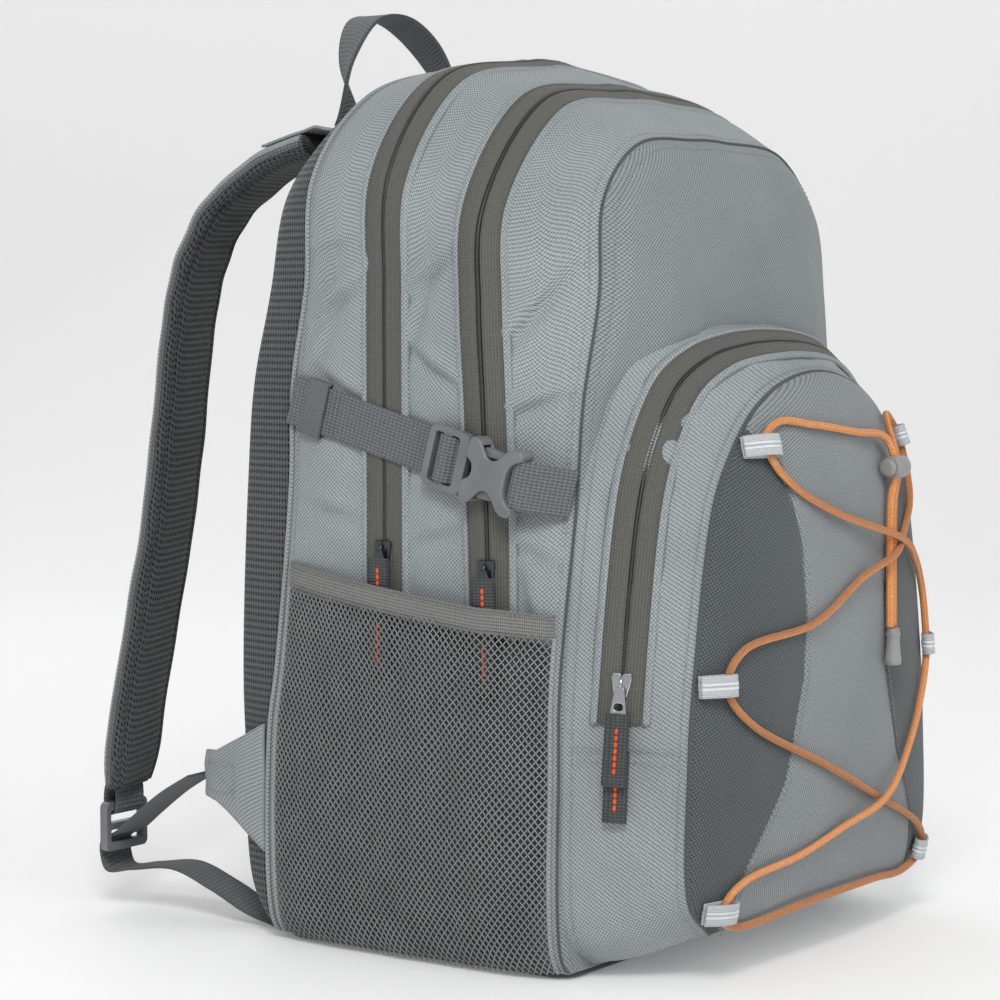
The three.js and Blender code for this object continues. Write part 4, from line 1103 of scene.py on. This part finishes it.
PULLS = {  # seams, seam, height, drop, length and lift of the tab, puller height, metal
    "rear_upper": (BODY, 2, 213, 3, 24, 6.8, 7.0, dark_metal),
    "rear_lower": (BODY, 2, 186, 3, 32, 6.8, 7.0, dark_metal),
    "middle_upper": (BODY, 1, 206, 3, 24, 6.8, 7.0, dark_metal),
    "middle_lower": (BODY, 1, 179, 3, 32, 6.8, 7.0, dark_metal),
    "pocket_upper": (GUSSET, 0.45, 152, 14, 36, 7, 7.2, bright_metal),
    "pocket_lower": (GUSSET, 0.45, 133, 13, 36, 3.6, 4.2, dark_metal),
}
for label, (seams, v, height, drop, length, lift, puller_lift, metal) in PULLS.items():
    at = skin_place(seams, v, height)
    slider_body, pull_body = f"{label}_slider", f"{label}_pull"
    outline = [(-4.6, 6), (-1.2, 6), (0, 4.6), (1.2, 6), (4.6, 6), (5.2, 3.5), (4.4, -1),
               (3.2, -6), (-3.2, -6), (-4.4, -1), (-5.2, 3.5)]
    casting = eased(plate(label + "_casting", outline, 2.9, 5.1, at, metal, slider_body), 0.6)
    hump = np.linspace(-1, 1, 9)
    bridge_path = at(0 * hump, 4.2 * hump, 4.4 + 2.4 * np.cos(hump * np.pi / 2) ** 0.6)
    rod(label + "_bridge", bridge_path, 0.75, metal, body=slider_body)
    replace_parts(casting, f"{label}_slider")
    # puller: a tapered plate, with a hole at its foot for the tape on the pocket zips
    foot = drop + 3.6
    top = 1.2 if drop < 10 else -1.0
    if label == "pocket_lower":
        top = -6.4
    puller_outline = [(-2.0, top), (2.0, top), (2.6, top - 2), (4.4, -foot + 2), (4.0, -foot),
                      (-4.0, -foot), (-4.4, -foot + 2), (-2.6, top - 2)]
    puller = plate(label + "_puller", puller_outline, puller_lift, puller_lift + 1.5, at, metal,
                   slider_body if drop > 10 else pull_body)
    if drop > 10:
        puller = carve(puller, [plate("cut", rounded(-2.2, 2.2, -foot + 5, -foot + 8.5, 1.2),
                                      puller_lift - 2, puller_lift + 4, at, metal)])
    eased(puller, 0.45)
    s = np.linspace(0, 1, 26)
    down = -drop - length * s
    fold = 1 + 0.12 * np.exp(-((s - 1) / 0.05) ** 2) - 0.3 * np.exp(-(s / 0.06) ** 2)
    section = np.array([(-6, -1.1), (6, -1.1), (6, -0.25), (5.6, 0), (6, 0.25), (6, 1.1),
                        (-6, 1.1), (-6, 0.25), (-5.6, 0), (-6, -0.25)])
    outlines = section[None] * np.stack([np.ones(26), fold], -1)[:, None]
    across = at(1, 0, 0) - at(0, 0, 0)
    tab = loft(label + "_tab", sweep(at(0 * s, down, lift + 1.2 + 0 * s), outlines, across),
               pull_tape, body=pull_body)
    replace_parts(tab, f"{label}_pull_tab")
    s = np.linspace(0.2, 0.86, 12)
    face_out = at(0, 0, 1) - at(0, 0, 0)
    line = at(0 * s, -drop - length * s, lift + 2.35 + 0 * s)
    seams_in_orange = stitches(label + "_orange_thread", [line], [face_out], orange_thread, 3.3,
                               3.0, 1.0, 0)
    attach(seams_in_orange, pull_body)

# ==== Haul loop ==============================================================================
# A folded webbing handle, sewn in flat at both ends of the back seam and turned up on edge.
i = np.arange(61) / 60
haul_path = curve([(-47, 132, 441), (-50, 131, 474), (-37, 130, 498), (-10, 130, 502),
                   (22, 130, 488), (44, 131, 464), (47, 132, 441)], i)
turn = np.pi / 2 * np.sin(np.pi * i) ** 0.8
haul = ribbon("haul_webbing", haul_path, 12.5, 2.4, webbing_cloth,
              np.stack([np.cos(turn), np.sin(turn), 0 * turn], -1), body="haul_loop")
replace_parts(haul, "haul_loop")

# ==== Frame sheet ============================================================================
# A thin polyethylene sheet stiffens the back between the rear compartment and the cushion.
sheet_plastic = plain("frame_sheet_plastic", (60, 62, 64), 0.5)
sheet_line = curve(BACK_SEAM, np.linspace(0, 1, 60)) * (-1, 1, 1)
inset = np.stack([np.minimum(sheet_line[:, 0] + 20, -0.5), sheet_line[:, 1],
                  np.clip(sheet_line[:, 2], 24, 450)], -1)
stiffener = loft("frame_sheet_plate", [both_halves(inset + (0, d, 0)) for d in (0.7, 1.7)],
                 sheet_plastic)
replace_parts(stiffener, "frame_sheet")

# ==== Shoulder straps ========================================================================
# Each strap is a foam pad in spacer mesh with the grey cloth over its outer face, bound with tape
# round its edge; a short webbing holds a ladder lock, and the adjuster runs to the corner tab.
STRAP = [(52, 148, 436), (50, 181, 428), (50, 205, 414), (54, 222, 398), (60, 235, 371),
         (66, 239, 343), (76, 239, 289), (87, 238, 229), (102, 237, 172), (117, 237, 115),
         (126, 237, 70)]
ADJUSTER = [(138, 163, 84), (133, 190, 70), (129, 214, 54), (127.6, 227, 44.5), (127.3, 233, 41.5),
            (127.2, 238.6, 38.5), (127, 239.6, 31), (126.5, 236, 22), (125, 218, 24),
            (123, 190, 27), (120, 165, 18), (117, 142, 7), (114, 126, 2)]
for label, sign in (("left", -1), ("right", 1)):
    body = f"strap_{label}"
    path = resampled(curve(np.array(STRAP) * (sign, 1, 1), np.linspace(0, 1, 300)), 2.6)
    n = len(path)
    along = np.gradient(path, axis=0)
    inward = np.stack([0 * path[:, 0], along[:, 2], -along[:, 1]], -1)
    inward /= np.linalg.norm(inward, axis=1, keepdims=True)
    wide = np.array((-sign * np.cos(0.26), np.sin(0.26), 0))
    s = np.linspace(0, 1, n)
    taper = 1 - 0.05 * np.exp(-(s / 0.03) ** 2) - 0.22 * np.clip((s - 0.94) / 0.06, 0, 1) ** 2
    angle = np.linspace(0, 2 * np.pi, 72, endpoint=False)
    across_pad = np.sign(np.cos(angle)) * np.abs(np.cos(angle)) ** 0.62 * 30
    through = np.sign(np.sin(angle)) * np.abs(np.sin(angle)) ** 0.75 * 7.6
    ripple = (0.8 * np.sin(s * 95) * np.exp(-((s - 0.24) / 0.12) ** 2)
              + 0.5 * np.sin(s * 61 + 1) * np.exp(-((s - 0.6) / 0.2) ** 2))
    rings = []
    for k in range(n):
        seam = 1.7 * np.exp(-((np.abs(across_pad) - 22) / 2.2) ** 2)
        depth = through * (taper[k] if s[k] > 0.94 else 1) + np.sign(through) * (
            ripple[k] * (0.4 + 0.6 * np.cos(across_pad / 30 * 1.4)) - seam)
        rings.append(path[k] + inward[k] * 7.5 + wide * (across_pad * taper[k])[:, None]
                     - inward[k] * depth[:, None])
    rings = np.array(rings)
    rings += noise(rings, 40, 51)[..., None] * 0.5 * inward[:, None]
    pad = loft(f"strap_pad_{label}", rings, spacer_mesh, body=body)
    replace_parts(pad, f"shoulder_strap_{label}")
    # outer cloth: the pad's own outer face lifted 0.5 mm and given 1 mm of thickness
    facing_out = np.flatnonzero((angle > 0.16) & (angle < np.pi - 0.16))
    skin_ring = rings[:, facing_out]
    cover = np.concatenate([skin_ring - inward[:, None] * 0.7,
                            (skin_ring + inward[:, None] * 0.5)[:, ::-1]], 1)
    loft(f"strap_cover_{label}", cover[1:-1], body_cloth, body=body)
    edge_rows = [rings[2:-2, facing_out[k]] - inward[2:-2] * 0.9 for k in (9, -10)]
    strap_stitches = stitches(f"strap_stitching_{label}", edge_rows, [-inward[2:-2]] * 2,
                              thread_grey)
    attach(strap_stitches, body)
    for part, k in (("inner", 0), ("outer", 36)):
        binding = rings[1:-1, k]
        rod(f"strap_binding_{part}_{label}", binding, 1.7, webbing_cloth, body=body)
    # top end: a patch of the body cloth joins the strap to the back
    root_keys = np.array([(51, 172, 430.4), (51.5, 160, 433.4), (52, 147, 436.2),
                          (52, 137, 437.6), (52, 128, 436.4), (52, 121, 436)]) * (sign, 1, 1)
    ribbon(f"strap_root_{label}", curve(root_keys, np.linspace(0, 1, 40)), 24, 1.6, body_cloth,
           wide, body=body)
    # a webbing runs down the lower third of the strap to the ladder lock
    run_out = path[int(0.64 * n):] - inward[int(0.64 * n):] * 1.4
    ribbon(f"strap_webbing_{label}", run_out, 11.5, 1.4, webbing_cloth, wide, body=body)
    lock_x = sign * 127

    def lock_place(a, b, c):
        """The ladder lock's own lengths (a up, b across, c back) as the pack's."""
        a, b, c = np.broadcast_arrays(*(np.asarray(k, float) for k in (a, b, c)))
        return np.stack([lock_x + b, 233 + c, 47 + a], -1)

    lock_plate = plate(f"ladder_{label}", rounded(-14, 14, -17, 17, 3.5), -2.7, 2.7, lock_place,
                       grey_plastic, f"ladder_lock_{label}")
    windows = [plate("cut", rounded(lo, hi, -13.2, 13.2, 1.2), -9, 9, lock_place, grey_plastic)
               for lo, hi in ((2, 9), (-9, -2))]
    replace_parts(eased(carve(lock_plate, windows), 1.1, 3), f"ladder_lock_{label}")
    loop_keys = np.array([(0, 232, 76), (0, 236.4, 69), (0, 237.4, 60), (0, 236.6, 55.2),
                          (0, 233, 53.9), (0, 229.4, 55.2), (0, 228.6, 60), (0, 229.0, 69),
                          (0, 231, 76)]) + (lock_x, 0, 0)
    ribbon(f"lock_webbing_{label}", curve(loop_keys, np.linspace(0, 1, 50)), 11.5, 1.3,
           webbing_cloth, (1.0, 0, 0), body=body)
    adjuster = ribbon(f"adjuster_{label}",
                      curve(np.array(ADJUSTER) * (sign, 1, 1), np.linspace(0, 1, 130)), 12.5, 1.5,
                      webbing_cloth, (1.0, 0, 0), body=None)
    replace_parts(adjuster, f"adjuster_webbing_{label}")
    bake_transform(adjuster)
    # corner tab: a folded triangle of body cloth from the side seam, box-stitched to the webbing
    y = np.linspace(109, 161, 40)
    tab_x = np.interp(y, (109, 128, 150, 161), (152.4, 149, 143, 138.5))
    tab_top = np.interp(y, (109, 128, 150, 161), (117, 108, 98, 97))
    tab_low = np.interp(y, (109, 128, 150, 161), (48, 60, 70, 72))
    share = np.linspace(0, 1, 18)
    rings = []
    for k in range(40):
        puff = 1 + 0.9 * np.sin(np.pi * share) ** 0.5 + 0.5 * np.sin(share * 9 + y[k] / 6)
        z = tab_low[k] + (tab_top[k] - tab_low[k]) * share
        outer = np.stack([tab_x[k] + puff, y[k] + 0 * z, z], -1)
        inner = np.stack([tab_x[k] - 0.9 + 0 * z, y[k] + 0 * z, z], -1)[::-1]
        rings.append(np.concatenate([outer, inner]) * (sign, 1, 1))
    tab = loft(f"corner_cloth_{label}", rings, body_cloth)
    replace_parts(tab, f"corner_tab_{label}")
    box_y, box_z = (132, 157), (76, 92)
    corners = [(box_y[0], box_z[0]), (box_y[1], box_z[0]), (box_y[1], box_z[1]),
               (box_y[0], box_z[1]), (box_y[0], box_z[0]), (box_y[1], box_z[1])]
    rows = []
    for (y0, z0), (y1, z1) in zip(corners, corners[1:]):
        yy, zz = np.linspace(y0, y1, 20), np.linspace(z0, z1, 20)
        xx = np.interp(yy, y, tab_x) + 2.6
        rows.append(np.stack([sign * xx, yy, zz], -1))
    stitches(f"corner_stitching_{label}", rows, [np.array((sign * 1.0, 0.3, 0))] * 5, thread_grey)

# ==== Lacing =================================================================================
# Six folded loops of reflective tape stand along the face's edge and carry one elastic cord in
# orange braid; both its ends pass a sprung barrel lock and meet in a bell-shaped cord end.
reflective = plain("reflective_tape", (226, 230, 234), 0.28, 0.1)
loop_tape = tape_cloth("loop_tape", (208, 212, 216), (170, 175, 179), 0.0012, 0.001)


def face_place(x, z):
    """The face's own directions at (x, z): inwards over the face, up it and out of it."""
    side = -np.sign(x)
    here = np.array((x, face_y(x, z), z))
    inward = np.array((x + side * 4, face_y(x + side * 4, z), z)) - here
    up = np.array((x, face_y(x, z + 4), z + 4)) - here
    out = np.cross(inward, up)
    out *= -np.sign(out[1])
    inward, out = inward / np.linalg.norm(inward), out / np.linalg.norm(out)
    up = np.cross(out, inward)
    return lambda a, b, c: (here + np.asarray(a, float)[..., None] * inward
                            + np.asarray(b, float)[..., None] * up
                            + np.asarray(c, float)[..., None] * out)


for label, sign in (("left", -1), ("right", 1)):
    for part, x, z in (("upper", 82, 268), ("middle", 121, 152), ("lower", 118, 39)):
        at = face_place(sign * x, z)
        keys = np.array([(-1, 2.0), (8, 1.9), (15, 2.0), (18.6, 2.8), (19.7, 4.9), (18.6, 7.0),
                         (15, 7.9), (8, 7.0), (-1, 4.0)])
        path = curve(np.c_[keys[:, :1], 0 * keys[:, :1], keys[:, 1:]], np.linspace(0, 1, 50))
        across = at(0, 1, 0) - at(0, 0, 0)
        tape = ribbon(f"loop_{part}_{label}", at(*path.T), 5.6, 1.2, loop_tape, across)
        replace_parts(tape, f"cord_loop_{part}_{label}")
        _, _, lift_out = frames_along(at(*path.T), across)
        middle = at(*path.T)
        turn_out = np.sign(((middle - middle.mean(0)) * lift_out).sum())
        ribbon(f"loop_stripe_{part}_{label}", middle + lift_out * 0.62 * turn_out, 1.8, 0.3,
               reflective, across, edge=0.08)

LACING = [  # x, z and lift off the face
    (40.2, 168.4, 4.4), (42, 236, 4), (43, 254, 7.2), (38, 269, 6), (5, 274, 3.2),
    (-35, 279, 3), (-59, 281, 3.4), (-71, 273, 4.2), (-70, 261, 4.2), (-56, 248, 3.2),
    (-15, 232, 3.4), (50, 215.5, 7.4), (80, 204, 4.4), (107, 183, 3.6), (111, 166, 4.2),
    (109.5, 146, 4.2), (97, 127, 3.2), (74, 103, 3.2), (32, 78.5, 7.4), (-8, 67.5, 3.4),
    (-50, 59, 3.2), (-95, 52, 3.4), (-107, 44, 4.4), (-107, 34.5, 4.4), (-92, 28, 3.4),
    (-20, 30, 3.2), (50, 30, 3.2), (91, 28, 3.4), (108, 34.5, 4.6), (107, 44, 4.4),
    (95, 54, 3.4), (32, 78.5, 2.8), (-30, 104, 3.4), (-92, 131, 3.4), (-107, 146, 4.2),
    (-107, 158, 4.2), (-96, 169, 3.4), (-40, 178, 3.2), (10, 198, 3.6), (41, 208, 7.4),
    (62, 216, 3), (79, 235, 3.2), (73, 258, 4.2), (71.5, 271, 4.2), (61, 281, 3.6),
    (50, 278, 4.4), (48, 254, 7.2), (47, 236, 4), (44.6, 168.4, 4.4)]
lace_keys = np.array([(x, face_y(x, z) - lift, z) for x, z, lift in LACING])
lace_path = resampled(curve(lace_keys, np.linspace(0, 1, 3000)), 1.6)

cord_material, tree, principled = shader("orange_braid", 0.6, Sheen_Weight=0.15)
around, run, braid_uv = cloth_axes(tree)
helix_a = wave(tree, maths(tree, "ADD", run, maths(tree, "MULTIPLY", around, 0.55)), 0.0016)
helix_b = wave(tree, maths(tree, "SUBTRACT", run, maths(tree, "MULTIPLY", around, 0.55)), 0.0016)
plait = maths(tree, "MULTIPLY", helix_a, helix_b)
fleck = speckle(tree, 1100, 1, braid_uv)
orange = mixed(tree, maths(tree, "MULTIPLY_ADD", plait, 0.4, 0.5), linear(250, 132, 52),
               linear(255, 184, 112))
flecked = mixed(tree, ramp(tree, maths(tree, "MULTIPLY_ADD", helix_a, 0.06, fleck), 0.6, 0.7), orange,
                linear(255, 222, 184))
tree.links.new(flecked, principled.inputs["Base Color"])
bump(tree, principled, plait, 0.8, 0.0005)
cord = rod("lace_cord", lace_path, 2.0, cord_material, n=12)
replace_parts(cord, "elastic_cord")


def turned(name, profile, place, material, body, n=28):
    """A turned piece: (along, radius) pairs spun round its axis."""
    rings = []
    for s, r in profile:
        ring = circle(r, n)
        rings.append(place(ring[:, 0], ring[:, 1], np.full(n, s)))
    return loft(name, rings, material, body=body)


mottled = plain("mottled_plastic", (150, 150, 148), 0.4, grain=0.1)
LOCK = np.array((45.5, -164.24, 254))


def lock_axis(a, b, c):
    """Lengths from the lock's centre with c along its barrel, which lies level."""
    return LOCK + np.stack([np.asarray(c, float), np.asarray(a, float), np.asarray(b, float)], -1)


lock_body = turned("lock_barrel", [(-7.2, 3.6), (-7.1, 5.0), (-6.4, 5.7), (-4.5, 6.1), (0, 6.3),
                                   (4.5, 6.1), (6.2, 5.2), (7.1, 3.6), (7.2, 2)], lock_axis,
                   mottled, "cord_lock")
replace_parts(lock_body, "cord_lock_body")
button = turned("lock_button", [(-12.2, 2), (-12.1, 3.6), (-11.4, 4.7), (-10.4, 4.9), (-9.7, 4.4),
                                (-9.2, 3.0), (-7.4, 2.9)], lock_axis, mottled, "cord_lock_button")
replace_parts(button, "cord_lock_button")
END_Y = face_y(42.4, 158) - 5.2


def end_axis(a, b, c):
    """Lengths round the cord end's upright axis."""
    return np.stack([42.4 + np.asarray(a, float), END_Y + np.asarray(b, float),
                     np.asarray(c, float)], -1)


bell = turned("cord_bell", [(148, 2.4), (148.2, 3.8), (149, 4.4), (151, 4.5), (158, 3.7),
                            (163, 3.5), (164, 4.0), (165, 4.0), (166, 3.5), (168, 3.3),
                            (168.2, 2)], end_axis, mottled, "pack")
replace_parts(bell, "cord_end")
